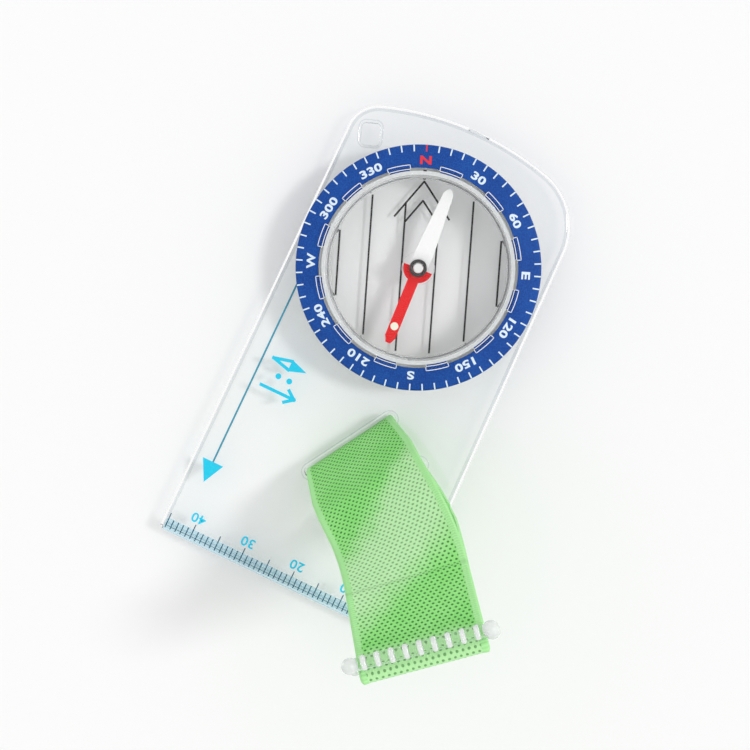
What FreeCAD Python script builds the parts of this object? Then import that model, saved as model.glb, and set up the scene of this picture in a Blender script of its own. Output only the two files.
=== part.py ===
"""Baseplate compass of the thumb-strap kind, modelled in millimetres.

Frame: +Z up, +Y from the ruler edge towards the dial end, +X across the plate.
The origin lies on the dial's turning axis, in the plane that the compass rests on.
"""
import FreeCAD, Part
import math
import os

V = FreeCAD.Vector

# ---------------------------------------------------------------- baseplate
PLATE_WIDTH = 47.5             # at the ruler edge
PLATE_TAPER = 2.6              # narrower at the dial end, on the side away from the lanyard hole
PLATE_LENGTH = 90.0            # ruler edge to the crown of the dial end
PLATE_THICKNESS = 2.6
PLATE_STAND_OFF = 1.5          # plate's underside above the resting plane
DIAL_FROM_LEFT_EDGE = 22.5
DIAL_FROM_RULER_EDGE = 63.3
DIAL_END_RADIUS = 55.0
LANYARD_CORNER_RADIUS = 6.0
PLAIN_CORNER_RADIUS = 12.0
RULER_CORNER_RADIUS = 0.8
PLATE_EDGE_CHAMFER = 0.4
LANYARD_HOLE_WIDTH = 3.4
LANYARD_HOLE_LENGTH = 4.0
LANYARD_HOLE_CORNER = 0.8
LANYARD_HOLE_TILT = 20.0       # degrees from +Y, anticlockwise
LANYARD_FROM_LEFT_EDGE = 4.3
LANYARD_FROM_CROWN = 8.6

# ---------------------------------------------------------------- dial and capsule
DIAL_RADIUS = 22.0
DIAL_FOOT_RADIUS = 21.6
DIAL_HEIGHT = 4.0
DIAL_EDGE_HEIGHT = 3.4         # height of the ring where its face meets the rim
DIAL_EDGE_ROUND = 0.5
DIAL_HEADING = 21.5            # degrees anticlockwise from +Y to the north letter
RIM_SECTORS = 12
TOOTH_SPAN = 12.0              # degrees of each blue tooth that keys the lid's skirt
TOOTH_CLEARANCE = 0.5          # degrees on each side of a tooth
TOOTH_REACH = 0.55             # from the ring's bore inwards
TOOTH_THICKNESS = 1.0
TOOTH_GAP = 0.1                # tooth's top to the lid's underside
LUG_SPAN = 13.4                # degrees of each clear lug that holds the ring down
LUG_REACH = 0.6                # from the lid's edge outwards, over the ring
LUG_THICKNESS = 0.45
CAPSULE_RADIUS = 16.6
CAPSULE_WALL = 0.6
CAPSULE_FLOOR = 1.4
CAPSULE_WALL_HEIGHT = 7.4
FLANGE_OVERHANG = 1.4          # under the plate, outside the capsule wall
BORE_CLEARANCE = 0.06
AXIAL_PLAY = 0.05
FIT_GAP = 0.05
SKIRT_THICKNESS = 1.15
LID_THICKNESS = 1.0
SEAL_GAP = 0.6                 # capsule wall's top to the lid's underside
WASHER_THICKNESS = 0.25
WASHER_INNER_RADIUS = 18.0
WASHER_OUTER_RADIUS = 21.3
SNAP_RING_HEIGHT = 0.5
SNAP_RING_DEPTH = 0.5
SNAP_RING_FROM_FOOT = 0.65
SNAP_RING_OPENING = 18.0       # degrees
FULL_TURN = 360.0              # degrees
LUG_ROOT = 0.3                 # lug's grip inside the lid's edge
LID_EDGE_ROUND = 0.35
FOOT_RISE = 0.6                # height over which the ring widens from its foot
PLUG_RADIUS = 0.6
PLUG_FROM_FLOOR = 1.5

# ---------------------------------------------------------------- needle
PIVOT_RADIUS = 0.4
PIVOT_TIP_HEIGHT = 5.55
PIVOT_CONE_LENGTH = 0.85
PIVOT_TIP_RADIUS = 0.05
BOSS_HEIGHT = 1.1
BOSS_FOOT_RADIUS = 1.7
BOSS_TOP_RADIUS = 0.9
JEWEL_RADIUS = 0.95
JEWEL_HEIGHT = 1.4
JEWEL_FROM_TIP = 0.8           # jewel's underside below the pivot's tip
JEWEL_CUP_RADIUS = 0.62
JEWEL_CUP_CLEARANCE = 0.1      # above the pivot's tip
NEEDLE_HEADING = -86.7         # degrees from +X to the red tip
MAGNET_LENGTH = 24.0
MAGNET_WIDTH = 1.0
MAGNET_THICKNESS = 0.2
MAGNET_FROM_JEWEL = 0.25
HALF_THICKNESS = 0.35
NORTH_REACH = 14.5
NORTH_WIDTH = 2.0
NORTH_TIP_LENGTH = 1.2
NORTH_TIP_WIDTH = 0.9
NORTH_COLLAR_RADIUS = 2.7
NORTH_COLLAR_SPAN = 178.0      # degrees
SOUTH_REACH = 15.3
SOUTH_ROOT_WIDTH = 3.4
SOUTH_TIP_WIDTH = 1.9
HUB_DISC_RADIUS = 3.0
HUB_DISC_THICKNESS = 0.3
HUB_RING_RADIUS = 1.6
HUB_RING_BORE = 1.05
HUB_RING_HEIGHT = 0.4
LUME_RADIUS = 0.72
LUME_REACH = 11.3
LUME_THICKNESS = 0.08

# ---------------------------------------------------------------- thumb strap
STRAP_THICKNESS = 1.2
STRAP_WIDTH = 20.0
STRAP_SLOT_WIDTH = 18.6        # the knit gathers a little where it enters the plate
STRAP_SPREAD_HEIGHT = 9.0      # height over the plate where it reaches full width
SLOT_FROM_LEFT_EDGE = 25.2
SLOT_FROM_RULER_EDGE = 28.8
SLOT_END_CLEARANCE = 0.5
SLOT_SIDE_CLEARANCE = 0.5
SLOT_PITCH = 10.0
BASE_RUN_HEADING = -31.0       # degrees from +X, across the slots
FAR_RUN_HEADING = -49.0        # degrees from +X, at the slider
TWIST_START = 11.5             # plan distance from the first slot
TWIST_END = 22.0
STRAP_RISE = 52.0              # degrees
STRAP_REACH = 52.7             # first slot to the far fold, along the rise
EXIT_RISE = 0.9                # upright stretch over the plate
UPPER_CROWN = (14.0, -2.2)     # along the rise, below the rise line
LOWER_BELLY = (18.0, 8.5)
PLY_JOIN = 35.5                # along the rise, where the two plies close up
PLY_GAP = 0.3
FOLD_RADIUS = 1.3
SLOT_BEND_RADIUS = 4.0
PLY_BEND_RADIUS = 6.0
SEAM_GAP = 0.02
SEAM_START = 3.5               # along the lower ply, from the slot
SEAM_END = 9.8
STITCH_ROWS = 3
STITCH_HALF_LENGTH = 7.5
STITCH_WIDTH = 0.35
STITCH_HEIGHT = 0.2

# ---------------------------------------------------------------- strap slider
SLIDER_FROM_FOLD = 1.0         # upper bar, along the strap
SLIDER_LEAN = 4.3              # lower bar behind the upper one, along the strap
SLIDER_CLEARANCE = 0.3
SLIDER_ROD_RADIUS = 1.0
SLIDER_RIB_RADIUS = 1.25
SLIDER_RIB_WIDTH = 0.9
SLIDER_RIB_PITCH = 2.3
SLIDER_RIBS = 9
SLIDER_BALL_RADIUS = 1.35
SLIDER_POST_RADIUS = 0.65
SLIDER_POST_CLEARANCE = 0.8    # strap's edge to the post

# ---------------------------------------------------------------- worked-out levels
PLATE_BOTTOM = PLATE_STAND_OFF
PLATE_TOP = PLATE_BOTTOM + PLATE_THICKNESS
DIAL_FOOT = PLATE_TOP + WASHER_THICKNESS + AXIAL_PLAY
DIAL_TOP = DIAL_FOOT + DIAL_HEIGHT
LID_RADIUS = CAPSULE_RADIUS + FIT_GAP + SKIRT_THICKNESS
RING_BORE = LID_RADIUS + FIT_GAP
LID_BOTTOM = CAPSULE_WALL_HEIGHT + SEAL_GAP
LID_TOP = LID_BOTTOM + LID_THICKNESS
FLOOR_INNER_RADIUS = CAPSULE_RADIUS - CAPSULE_WALL
JEWEL_BOTTOM = PIVOT_TIP_HEIGHT - JEWEL_FROM_TIP
MAGNET_BOTTOM = JEWEL_BOTTOM + MAGNET_FROM_JEWEL
HALVES_BOTTOM = MAGNET_BOTTOM + MAGNET_THICKNESS
DISC_BOTTOM = HALVES_BOTTOM + HALF_THICKNESS
HUB_RING_BOTTOM = DISC_BOTTOM + HUB_DISC_THICKNESS
LEFT_EDGE = -DIAL_FROM_LEFT_EDGE
RIGHT_EDGE = LEFT_EDGE + PLATE_WIDTH
RULER_EDGE = -DIAL_FROM_RULER_EDGE
CROWN = RULER_EDGE + PLATE_LENGTH
SLOT_POINT = V(LEFT_EDGE + SLOT_FROM_LEFT_EDGE, RULER_EDGE + SLOT_FROM_RULER_EDGE, 0)
NORTH_ANGLE = 90.0 + DIAL_HEADING


# ================================================================ helpers
def heading(degrees):
    """Unit vector in the plan, at an angle from +X."""
    return V(math.cos(math.radians(degrees)), math.sin(math.radians(degrees)), 0)


def turned(profile, sweep=FULL_TURN, start=0.0):
    """Solid turned about the Z axis from (radius, height) corners."""
    corners = [V(radius, 0, height) for radius, height in profile]
    face = Part.Face(Part.makePolygon(corners + corners[:1]))
    face.rotate(V(0, 0, 0), V(0, 0, 1), start)
    return face.revolve(V(0, 0, 0), V(0, 0, 1), sweep)


def ring(inner, outer, bottom, top, sweep=FULL_TURN, start=0.0):
    """Flat ring, or a sector of one."""
    return turned([(inner, bottom), (outer, bottom), (outer, top), (inner, top)], sweep, start)


def disc(radius, bottom, top):
    return Part.makeCylinder(radius, top - bottom, V(0, 0, bottom))


def slab(outline, bottom, top):
    """Upright slab from a closed list of plan corners."""
    corners = [V(x, y, bottom) for x, y in outline]
    face = Part.Face(Part.makePolygon(corners + corners[:1]))
    return face.extrude(V(0, 0, top - bottom))


def upright_edges(solid, point):
    """The upright edges of a solid that stand over a plan point."""
    found = []
    for edge in solid.Edges:
        ends = [vertex.Point for vertex in edge.Vertexes]
        if len(ends) == 2 and all(math.hypot(end.x - point.x, end.y - point.y) < 0.01 for end in ends):
            found.append(edge)
    return found


def circle_edges(solid, radius, height):
    """The round edges about the Z axis with a given radius and height."""
    found = []
    for edge in solid.Edges:
        if isinstance(edge.Curve, Part.Circle):
            same_height = abs(edge.Curve.Center.z - height) < 0.01
            if same_height and abs(edge.Curve.Radius - radius) < 0.01:
                found.append(edge)
    return found


def rounded_slot(width, length, corner, bottom, top):
    """Upright block with rounded corners, length along +Y, centred on the Z axis."""
    block = Part.makeBox(width, length, top - bottom, V(-width / 2, -length / 2, bottom))
    uprights = [edge for edge in block.Edges if abs(edge.tangentAt(edge.FirstParameter).z) > 0.99]
    return block.makeFillet(min(corner, width / 2 - 0.01), uprights)


# ================================================================ strap run
def run_turn(distance):
    """How far the strap's plan heading has turned, in degrees, at a plan distance."""
    share = (min(max(distance, TWIST_START), TWIST_END) - TWIST_START) / (TWIST_END - TWIST_START)
    return share * (FAR_RUN_HEADING - BASE_RUN_HEADING)


def run_point(distance):
    """Plan point on the middle of the strap's run."""
    point = SLOT_POINT + heading(BASE_RUN_HEADING) * min(distance, TWIST_START)
    turn = math.radians(run_turn(distance))
    if distance > TWIST_START:
        radius = (TWIST_END - TWIST_START) / math.radians(FAR_RUN_HEADING - BASE_RUN_HEADING)
        chord = heading(BASE_RUN_HEADING + math.degrees(turn) / 2) * (2 * radius * math.sin(turn / 2))
        point = point + chord
    return point + heading(FAR_RUN_HEADING) * max(distance - TWIST_END, 0)


def strap_place(distance, across, height):
    """Point of the bent strap: along the run, across its width, above the rest plane."""
    side = heading(BASE_RUN_HEADING + run_turn(distance) + 90)
    return run_point(distance) + side * across + V(0, 0, height)


def rise_point(along, below):
    """(distance, height) from a place along the rise line and a depth below it."""
    rise = math.radians(STRAP_RISE)
    distance = along * math.cos(rise) + below * math.sin(rise)
    return distance, PLATE_TOP + EXIT_RISE + along * math.sin(rise) - below * math.cos(rise)


def rounded_path(corners, step=4.0, arc_step=20.0):
    """Stations (distance, height, slope) along corners joined by tangent arcs."""
    stations = []
    here = corners[0][:2]
    for index in range(1, len(corners)):
        x, z, radius = corners[index]
        slope_in = math.atan2(z - here[1], x - here[0])
        last = index == len(corners) - 1
        turn = 0.0
        if not last:
            slope_out = math.atan2(corners[index + 1][1] - z, corners[index + 1][0] - x)
            turn = math.atan2(math.sin(slope_out - slope_in), math.cos(slope_out - slope_in))
        inset = abs(radius * math.tan(turn / 2))
        end = (x - inset * math.cos(slope_in), z - inset * math.sin(slope_in))
        length = math.hypot(end[0] - here[0], end[1] - here[1])
        pieces = math.ceil(length / step - 0.001)
        for piece in range(pieces):
            share = piece / pieces
            stations.append((here[0] + (end[0] - here[0]) * share,
                             here[1] + (end[1] - here[1]) * share, slope_in))
        if last:
            stations.append((end[0], end[1], slope_in))
            return stations
        side = math.copysign(1.0, turn)
        centre = (end[0] - side * radius * math.sin(slope_in), end[1] + side * radius * math.cos(slope_in))
        pieces = max(2, math.ceil(abs(math.degrees(turn)) / arc_step))
        for piece in range(pieces):
            slope = slope_in + turn * piece / pieces
            stations.append((centre[0] + side * radius * math.sin(slope),
                             centre[1] - side * radius * math.cos(slope), slope))
        here = (centre[0] + side * radius * math.sin(slope_in + turn),
                centre[1] - side * radius * math.cos(slope_in + turn))
    return stations


def strap_half_width(height):
    spread = min(max((height - PLATE_TOP) / STRAP_SPREAD_HEIGHT, 0), 1)
    return (STRAP_SLOT_WIDTH + (STRAP_WIDTH - STRAP_SLOT_WIDTH) * spread) / 2


def ruled_solid(sections):
    """Closed solid through a row of four-cornered sections."""
    faces = []
    for here, there in zip(sections, sections[1:]):
        for index in range(4):
            after = (index + 1) % 4
            near = Part.makeLine(here[index], here[after])
            far = Part.makeLine(there[index], there[after])
            faces.append(Part.makeRuledSurface(near, far))
    for corners in (sections[0], sections[-1]):
        near = Part.makeLine(corners[0], corners[1])
        far = Part.makeLine(corners[3], corners[2])
        faces.append(Part.makeRuledSurface(near, far))
    skin = Part.makeShell(faces)
    skin.sewShape()
    solid = Part.makeSolid(skin)
    if solid.Volume < 0:
        solid.reverse()
    return solid


def band(stations, low, high, half_width):
    """Webbing between two offsets from the path, as one ruled solid."""
    sections = []
    for distance, height, slope in stations:
        across = half_width(height)
        corners = []
        for offset, side in ((low, -across), (low, across), (high, across), (high, -across)):
            corners.append(strap_place(distance - offset * math.sin(slope), side,
                                       height + offset * math.cos(slope)))
        sections.append(corners)
    return ruled_solid(sections)


def lower_ply_line(along, below):
    """(distance, height) along the straight of the lower ply that leaves the second slot."""
    foot = (SLOT_PITCH, PLATE_TOP + EXIT_RISE)
    belly = rise_point(*LOWER_BELLY)
    slope = math.atan2(belly[1] - foot[1], belly[0] - foot[0])
    return (foot[0] + along * math.cos(slope) + below * math.sin(slope),
            foot[1] + along * math.sin(slope) - below * math.cos(slope))


# ================================================================ baseplate
def lanyard_hole():
    hole = rounded_slot(LANYARD_HOLE_WIDTH, LANYARD_HOLE_LENGTH, LANYARD_HOLE_CORNER,
                        PLATE_BOTTOM - 1, PLATE_TOP + 1)
    hole.rotate(V(0, 0, 0), V(0, 0, 1), LANYARD_HOLE_TILT)
    hole.translate(V(LEFT_EDGE + LANYARD_FROM_LEFT_EDGE, CROWN - LANYARD_FROM_CROWN, 0))
    return hole


def strap_slot(distance):
    width = STRAP_THICKNESS + 2 * SLOT_SIDE_CLEARANCE
    length = STRAP_SLOT_WIDTH + 2 * SLOT_END_CLEARANCE
    slot = rounded_slot(width, length, width / 2, PLATE_BOTTOM - 1, PLATE_TOP + 1)
    slot.rotate(V(0, 0, 0), V(0, 0, 1), BASE_RUN_HEADING)
    slot.translate(run_point(distance))
    return slot


def baseplate():
    half_width = (PLATE_WIDTH - PLATE_TAPER) / 2
    middle = LEFT_EDGE + half_width
    shoulder = CROWN - DIAL_END_RADIUS + math.sqrt(DIAL_END_RADIUS ** 2 - half_width ** 2)
    corners = [V(LEFT_EDGE, RULER_EDGE, PLATE_BOTTOM), V(RIGHT_EDGE, RULER_EDGE, PLATE_BOTTOM),
               V(middle + half_width, shoulder, PLATE_BOTTOM), V(LEFT_EDGE, shoulder, PLATE_BOTTOM)]
    dial_end = Part.Arc(corners[2], V(middle, CROWN, PLATE_BOTTOM), corners[3]).toShape()
    outline = [Part.makeLine(corners[0], corners[1]), Part.makeLine(corners[1], corners[2]),
               dial_end, Part.makeLine(corners[3], corners[0])]
    plate = Part.Face(Part.Wire(outline)).extrude(V(0, 0, PLATE_THICKNESS))
    radii = (RULER_CORNER_RADIUS, RULER_CORNER_RADIUS, PLAIN_CORNER_RADIUS, LANYARD_CORNER_RADIUS)
    for corner, radius in zip(corners, radii):
        plate = plate.makeFillet(radius, upright_edges(plate, corner))
    rims = [edge for edge in plate.Edges if edge.BoundBox.ZLength < 0.01]
    plate = plate.makeChamfer(PLATE_EDGE_CHAMFER, rims)
    plate = plate.cut(disc(CAPSULE_RADIUS + BORE_CLEARANCE, PLATE_BOTTOM - 1, PLATE_TOP + 1))
    plate = plate.cut(lanyard_hole())
    for distance in (0, SLOT_PITCH):
        plate = plate.cut(strap_slot(distance))
    return plate


def friction_washer():
    return ring(WASHER_INNER_RADIUS, WASHER_OUTER_RADIUS, PLATE_TOP, PLATE_TOP + WASHER_THICKNESS)


# ================================================================ dial and capsule
def sector_angles(offset):
    """Turning angles of the rim's sectors, counted from the north letter."""
    pitch = FULL_TURN / RIM_SECTORS
    return [NORTH_ANGLE + offset * pitch + index * pitch for index in range(RIM_SECTORS)]


def snap_ring_levels():
    """Lower and upper level of the groove that the snap ring sits in."""
    low = DIAL_FOOT + SNAP_RING_FROM_FOOT - FIT_GAP
    return low, low + SNAP_RING_HEIGHT + 2 * FIT_GAP


def dial_ring():
    edge_top = DIAL_FOOT + DIAL_EDGE_HEIGHT
    body = turned([(RING_BORE, DIAL_FOOT), (DIAL_FOOT_RADIUS, DIAL_FOOT),
                   (DIAL_RADIUS, DIAL_FOOT + FOOT_RISE), (DIAL_RADIUS, edge_top), (RING_BORE, DIAL_TOP)])
    body = body.makeFillet(DIAL_EDGE_ROUND, circle_edges(body, DIAL_RADIUS, edge_top))
    tooth_top = LID_BOTTOM - TOOTH_GAP
    for angle in sector_angles(0.5):
        tooth = ring(RING_BORE - TOOTH_REACH, RING_BORE + FIT_GAP, tooth_top - TOOTH_THICKNESS, tooth_top,
                     TOOTH_SPAN, angle - TOOTH_SPAN / 2)
        body = body.fuse(tooth)
    return body.removeSplitter()


def capsule_lid():
    """Clear disc whose skirt fits round the capsule wall, keyed to the ring by its notches."""
    bore = CAPSULE_RADIUS + FIT_GAP
    foot = DIAL_FOOT + AXIAL_PLAY
    lid = disc(LID_RADIUS, LID_BOTTOM, LID_TOP)
    lid = lid.makeFillet(min(LID_EDGE_ROUND, LID_THICKNESS / 2), circle_edges(lid, LID_RADIUS, LID_TOP))
    skirt = ring(bore, LID_RADIUS, foot, LID_BOTTOM + FIT_GAP)
    skirt = skirt.cut(ring(bore - 1, bore + SNAP_RING_DEPTH / 2 + FIT_GAP, *snap_ring_levels()))
    notch_span = TOOTH_SPAN + 2 * TOOTH_CLEARANCE
    for angle in sector_angles(0.5):
        notch = ring(RING_BORE - TOOTH_REACH - FIT_GAP, RING_BORE + 1, foot - 1, LID_BOTTOM,
                     notch_span, angle - notch_span / 2)
        skirt = skirt.cut(notch)
    lid = lid.fuse(skirt)
    for angle in sector_angles(0.5):
        lug = ring(LID_RADIUS - LUG_ROOT, LID_RADIUS + LUG_REACH, DIAL_TOP + FIT_GAP,
                   DIAL_TOP + FIT_GAP + LUG_THICKNESS, LUG_SPAN, angle - LUG_SPAN / 2)
        lid = lid.fuse(lug)
    return lid.removeSplitter()


def capsule_body():
    flange_top = PLATE_BOTTOM - AXIAL_PLAY
    body = turned([(0, 0), (CAPSULE_RADIUS + FLANGE_OVERHANG, 0),
                   (CAPSULE_RADIUS + FLANGE_OVERHANG, flange_top), (CAPSULE_RADIUS, flange_top),
                   (CAPSULE_RADIUS, CAPSULE_WALL_HEIGHT), (FLOOR_INNER_RADIUS, CAPSULE_WALL_HEIGHT),
                   (FLOOR_INNER_RADIUS, CAPSULE_FLOOR), (BOSS_FOOT_RADIUS, CAPSULE_FLOOR),
                   (BOSS_TOP_RADIUS, CAPSULE_FLOOR + BOSS_HEIGHT), (0, CAPSULE_FLOOR + BOSS_HEIGHT)])
    body = body.cut(ring(CAPSULE_RADIUS - SNAP_RING_DEPTH / 2, CAPSULE_RADIUS + 1, *snap_ring_levels()))
    body = body.cut(disc(PIVOT_RADIUS, CAPSULE_FLOOR / 2, CAPSULE_FLOOR + BOSS_HEIGHT + 1))
    return body.cut(fill_plug_blank())


def fill_plug_blank():
    """Cylinder through the capsule wall, opposite the north letter."""
    outward = heading(NORTH_ANGLE + 180)
    start = outward * (FLOOR_INNER_RADIUS - 1) + V(0, 0, CAPSULE_FLOOR + PLUG_FROM_FLOOR)
    return Part.makeCylinder(PLUG_RADIUS, CAPSULE_WALL + 2, start, outward)


def fill_plug():
    return fill_plug_blank().common(ring(FLOOR_INNER_RADIUS, CAPSULE_RADIUS, 0, CAPSULE_WALL_HEIGHT))


def capsule_seal():
    """O-ring between the capsule wall's top and the lid."""
    return Part.makeTorus(CAPSULE_RADIUS - CAPSULE_WALL / 2, SEAL_GAP / 2,
                          V(0, 0, CAPSULE_WALL_HEIGHT + SEAL_GAP / 2))


def snap_ring():
    """Split ring in the groove shared by the capsule wall and the lid's skirt."""
    low = DIAL_FOOT + SNAP_RING_FROM_FOOT
    inner = CAPSULE_RADIUS + FIT_GAP - SNAP_RING_DEPTH / 2
    return ring(inner, inner + SNAP_RING_DEPTH, low, low + SNAP_RING_HEIGHT,
                FULL_TURN - SNAP_RING_OPENING, NORTH_ANGLE + SNAP_RING_OPENING / 2)


def pivot_pin():
    shoulder = PIVOT_TIP_HEIGHT - PIVOT_CONE_LENGTH
    return turned([(0, CAPSULE_FLOOR / 2), (PIVOT_RADIUS, CAPSULE_FLOOR / 2), (PIVOT_RADIUS, shoulder),
                   (PIVOT_TIP_RADIUS, PIVOT_TIP_HEIGHT), (0, PIVOT_TIP_HEIGHT)])


# ================================================================ needle
def pointed(solid):
    """Turns a needle piece made along +X to the needle's heading."""
    solid.rotate(V(0, 0, 0), V(0, 0, 1), NEEDLE_HEADING)
    return solid


def jewel_hole():
    return disc(JEWEL_RADIUS, 0, LID_TOP)


def needle_jewel():
    top = JEWEL_BOTTOM + JEWEL_HEIGHT
    cup_top = PIVOT_TIP_HEIGHT + JEWEL_CUP_CLEARANCE
    cup_depth = cup_top - JEWEL_BOTTOM
    cup = turned([(0, JEWEL_BOTTOM - 0.1), (JEWEL_CUP_RADIUS, JEWEL_BOTTOM - 0.1),
                  (JEWEL_CUP_RADIUS, JEWEL_BOTTOM + cup_depth * 0.3),
                  (PIVOT_TIP_RADIUS + JEWEL_CUP_CLEARANCE, cup_top), (0, cup_top)])
    jewel = disc(JEWEL_RADIUS, JEWEL_BOTTOM, top)
    jewel = jewel.makeFillet(JEWEL_RADIUS * 0.3, circle_edges(jewel, JEWEL_RADIUS, top))
    return jewel.cut(cup)


def needle_magnet():
    strip = Part.makeBox(MAGNET_LENGTH, MAGNET_WIDTH, MAGNET_THICKNESS,
                         V(-MAGNET_LENGTH / 2, -MAGNET_WIDTH / 2, MAGNET_BOTTOM))
    collar = disc(JEWEL_RADIUS + MAGNET_WIDTH / 2, MAGNET_BOTTOM, HALVES_BOTTOM)
    return pointed(strip.fuse(collar).cut(jewel_hole()).removeSplitter())


def needle_north_half():
    shaft_end = NORTH_REACH - NORTH_TIP_LENGTH
    half = NORTH_WIDTH / 2
    tip = NORTH_TIP_WIDTH / 2
    blade = slab([(0, -half), (shaft_end, -half), (NORTH_REACH, -tip), (NORTH_REACH, tip),
                  (shaft_end, half), (0, half)], HALVES_BOTTOM, DISC_BOTTOM)
    collar = ring(0.01, NORTH_COLLAR_RADIUS, HALVES_BOTTOM, DISC_BOTTOM,
                  NORTH_COLLAR_SPAN, -NORTH_COLLAR_SPAN / 2)
    return pointed(blade.fuse(collar).cut(jewel_hole()).removeSplitter())


def needle_south_half():
    root = SOUTH_ROOT_WIDTH / 2
    tip = SOUTH_TIP_WIDTH / 2
    split = 0.1
    blade = slab([(-split, -root), (-HUB_DISC_RADIUS, -root), (-SOUTH_REACH + tip, -tip),
                  (-SOUTH_REACH, -tip * 0.35), (-SOUTH_REACH, tip * 0.35), (-SOUTH_REACH + tip, tip),
                  (-HUB_DISC_RADIUS, root), (-split, root)], HALVES_BOTTOM, DISC_BOTTOM)
    return pointed(blade.cut(jewel_hole()))


def needle_hub_disc():
    plate = disc(HUB_DISC_RADIUS, DISC_BOTTOM, HUB_RING_BOTTOM)
    return plate.cut(jewel_hole())


def needle_hub_ring():
    return ring(HUB_RING_BORE, HUB_RING_RADIUS, HUB_RING_BOTTOM, HUB_RING_BOTTOM + HUB_RING_HEIGHT)


def needle_lume_dot():
    dot = Part.makeCylinder(LUME_RADIUS, LUME_THICKNESS, V(LUME_REACH, 0, DISC_BOTTOM))
    return pointed(dot)


# ================================================================ thumb strap
def strap_stations():
    """The webbing's middle line: seam, second slot, web, first slot, far fold, seam."""
    under = STRAP_THICKNESS / 2
    exit_height = PLATE_TOP + EXIT_RISE
    shift = STRAP_THICKNESS + SEAM_GAP
    ply = STRAP_THICKNESS + PLY_GAP
    corners = [(*lower_ply_line(SEAM_END, 0), 0), (SLOT_PITCH, exit_height, SLOT_BEND_RADIUS),
               (SLOT_PITCH, under, FOLD_RADIUS), (0, under, FOLD_RADIUS),
               (0, exit_height, SLOT_BEND_RADIUS), (*rise_point(*UPPER_CROWN), PLY_BEND_RADIUS),
               (*rise_point(PLY_JOIN, 0), PLY_BEND_RADIUS), (*rise_point(STRAP_REACH, 0), ply / 2),
               (*rise_point(STRAP_REACH, ply), ply / 2), (*rise_point(PLY_JOIN, ply), PLY_BEND_RADIUS)]
    belly = rise_point(*LOWER_BELLY)
    start = lower_ply_line(0, 0)
    length = math.hypot(belly[0] - start[0], belly[1] - start[1])
    corners += [(*lower_ply_line(length, shift), PLY_BEND_RADIUS), (*lower_ply_line(SEAM_START, shift), 0)]
    return rounded_path(corners)


def thumb_strap():
    return band(strap_stations(), -STRAP_THICKNESS / 2, STRAP_THICKNESS / 2, strap_half_width)


def strap_stitching():
    """Thread rows across the sewn lap, on its inner and outer faces."""
    rows = []
    inner = -STRAP_THICKNESS / 2 - STITCH_HEIGHT
    outer = STRAP_THICKNESS / 2 + STRAP_THICKNESS + SEAM_GAP
    spacing = (SEAM_END - SEAM_START) / (STITCH_ROWS + 1)
    for row in range(STITCH_ROWS):
        middle = SEAM_START + spacing * (row + 1)
        for below in (inner, outer):
            ends = []
            for across in (-STITCH_HALF_LENGTH, STITCH_HALF_LENGTH):
                corners = []
                for along, depth in ((-0.5, 0), (0.5, 0), (0.5, 1), (-0.5, 1)):
                    distance, height = lower_ply_line(middle + along * STITCH_WIDTH,
                                                      below + depth * STITCH_HEIGHT)
                    corners.append(strap_place(distance, across, height))
                ends.append(corners)
            rows.append(ruled_solid(ends))
    return Part.makeCompound(rows)


# ================================================================ strap slider
def slider_place(solid, below, back):
    """Puts a bar made along +X, with +Y downwards and +Z back along the strap, over or under its plies."""
    rise = math.radians(STRAP_RISE)
    side = heading(FAR_RUN_HEADING + 90)
    forward = heading(FAR_RUN_HEADING)
    down = forward * math.sin(rise) - V(0, 0, math.cos(rise))
    distance, height = rise_point(STRAP_REACH - SLIDER_FROM_FOLD - back, below)
    turn = FreeCAD.Rotation(side, down, side.cross(down), "XYZ")
    solid.Placement = FreeCAD.Placement(strap_place(distance, 0, height), turn)
    return solid


def slider_depths():
    """Depths of the two bars' middles below the rise line."""
    clear = STRAP_THICKNESS / 2 + SLIDER_CLEARANCE + SLIDER_BALL_RADIUS
    return -clear, STRAP_THICKNESS + PLY_GAP + clear


def slider_rod():
    """Ribbed rod with ball ends, along +X."""
    post_across = STRAP_WIDTH / 2 + SLIDER_POST_CLEARANCE + SLIDER_POST_RADIUS
    rod = Part.makeCylinder(SLIDER_ROD_RADIUS, 2 * post_across, V(-post_across, 0, 0), V(1, 0, 0))
    for index in range(SLIDER_RIBS):
        middle = (index - (SLIDER_RIBS - 1) / 2) * SLIDER_RIB_PITCH
        rib = Part.makeCylinder(SLIDER_RIB_RADIUS, SLIDER_RIB_WIDTH,
                                V(middle - SLIDER_RIB_WIDTH / 2, 0, 0), V(1, 0, 0))
        rod = rod.fuse(rib)
    for across in (-post_across, post_across):
        rod = rod.fuse(Part.makeSphere(SLIDER_BALL_RADIUS, V(across, 0, 0)))
    return rod, post_across


def slider_posts(post_across, way):
    """Posts from the bar's ends to the other bar; way is 1 from the upper one, -1 from the lower one."""
    top, bottom = slider_depths()
    run = V(0, bottom - top, SLIDER_LEAN) * way
    posts = [Part.makeCylinder(SLIDER_POST_RADIUS, run.Length, V(across, 0, 0), run)
             for across in (-post_across, post_across)]
    return posts[0].fuse(posts[1])


def slider_top_bar():
    rod, post_across = slider_rod()
    return slider_place(rod.cut(slider_posts(post_across, 1)), slider_depths()[0], 0)


def slider_bottom_bar():
    rod, post_across = slider_rod()
    return slider_place(rod.fuse(slider_posts(post_across, -1)), slider_depths()[1], SLIDER_LEAN)


# ================================================================ writing
PIECES = (baseplate, friction_washer, dial_ring, capsule_lid, capsule_body, capsule_seal, fill_plug,
          snap_ring, pivot_pin, needle_jewel, needle_magnet, needle_north_half, needle_south_half,
          needle_hub_disc, needle_hub_ring, needle_lume_dot, thumb_strap, strap_stitching,
          slider_top_bar, slider_bottom_bar)


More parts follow.
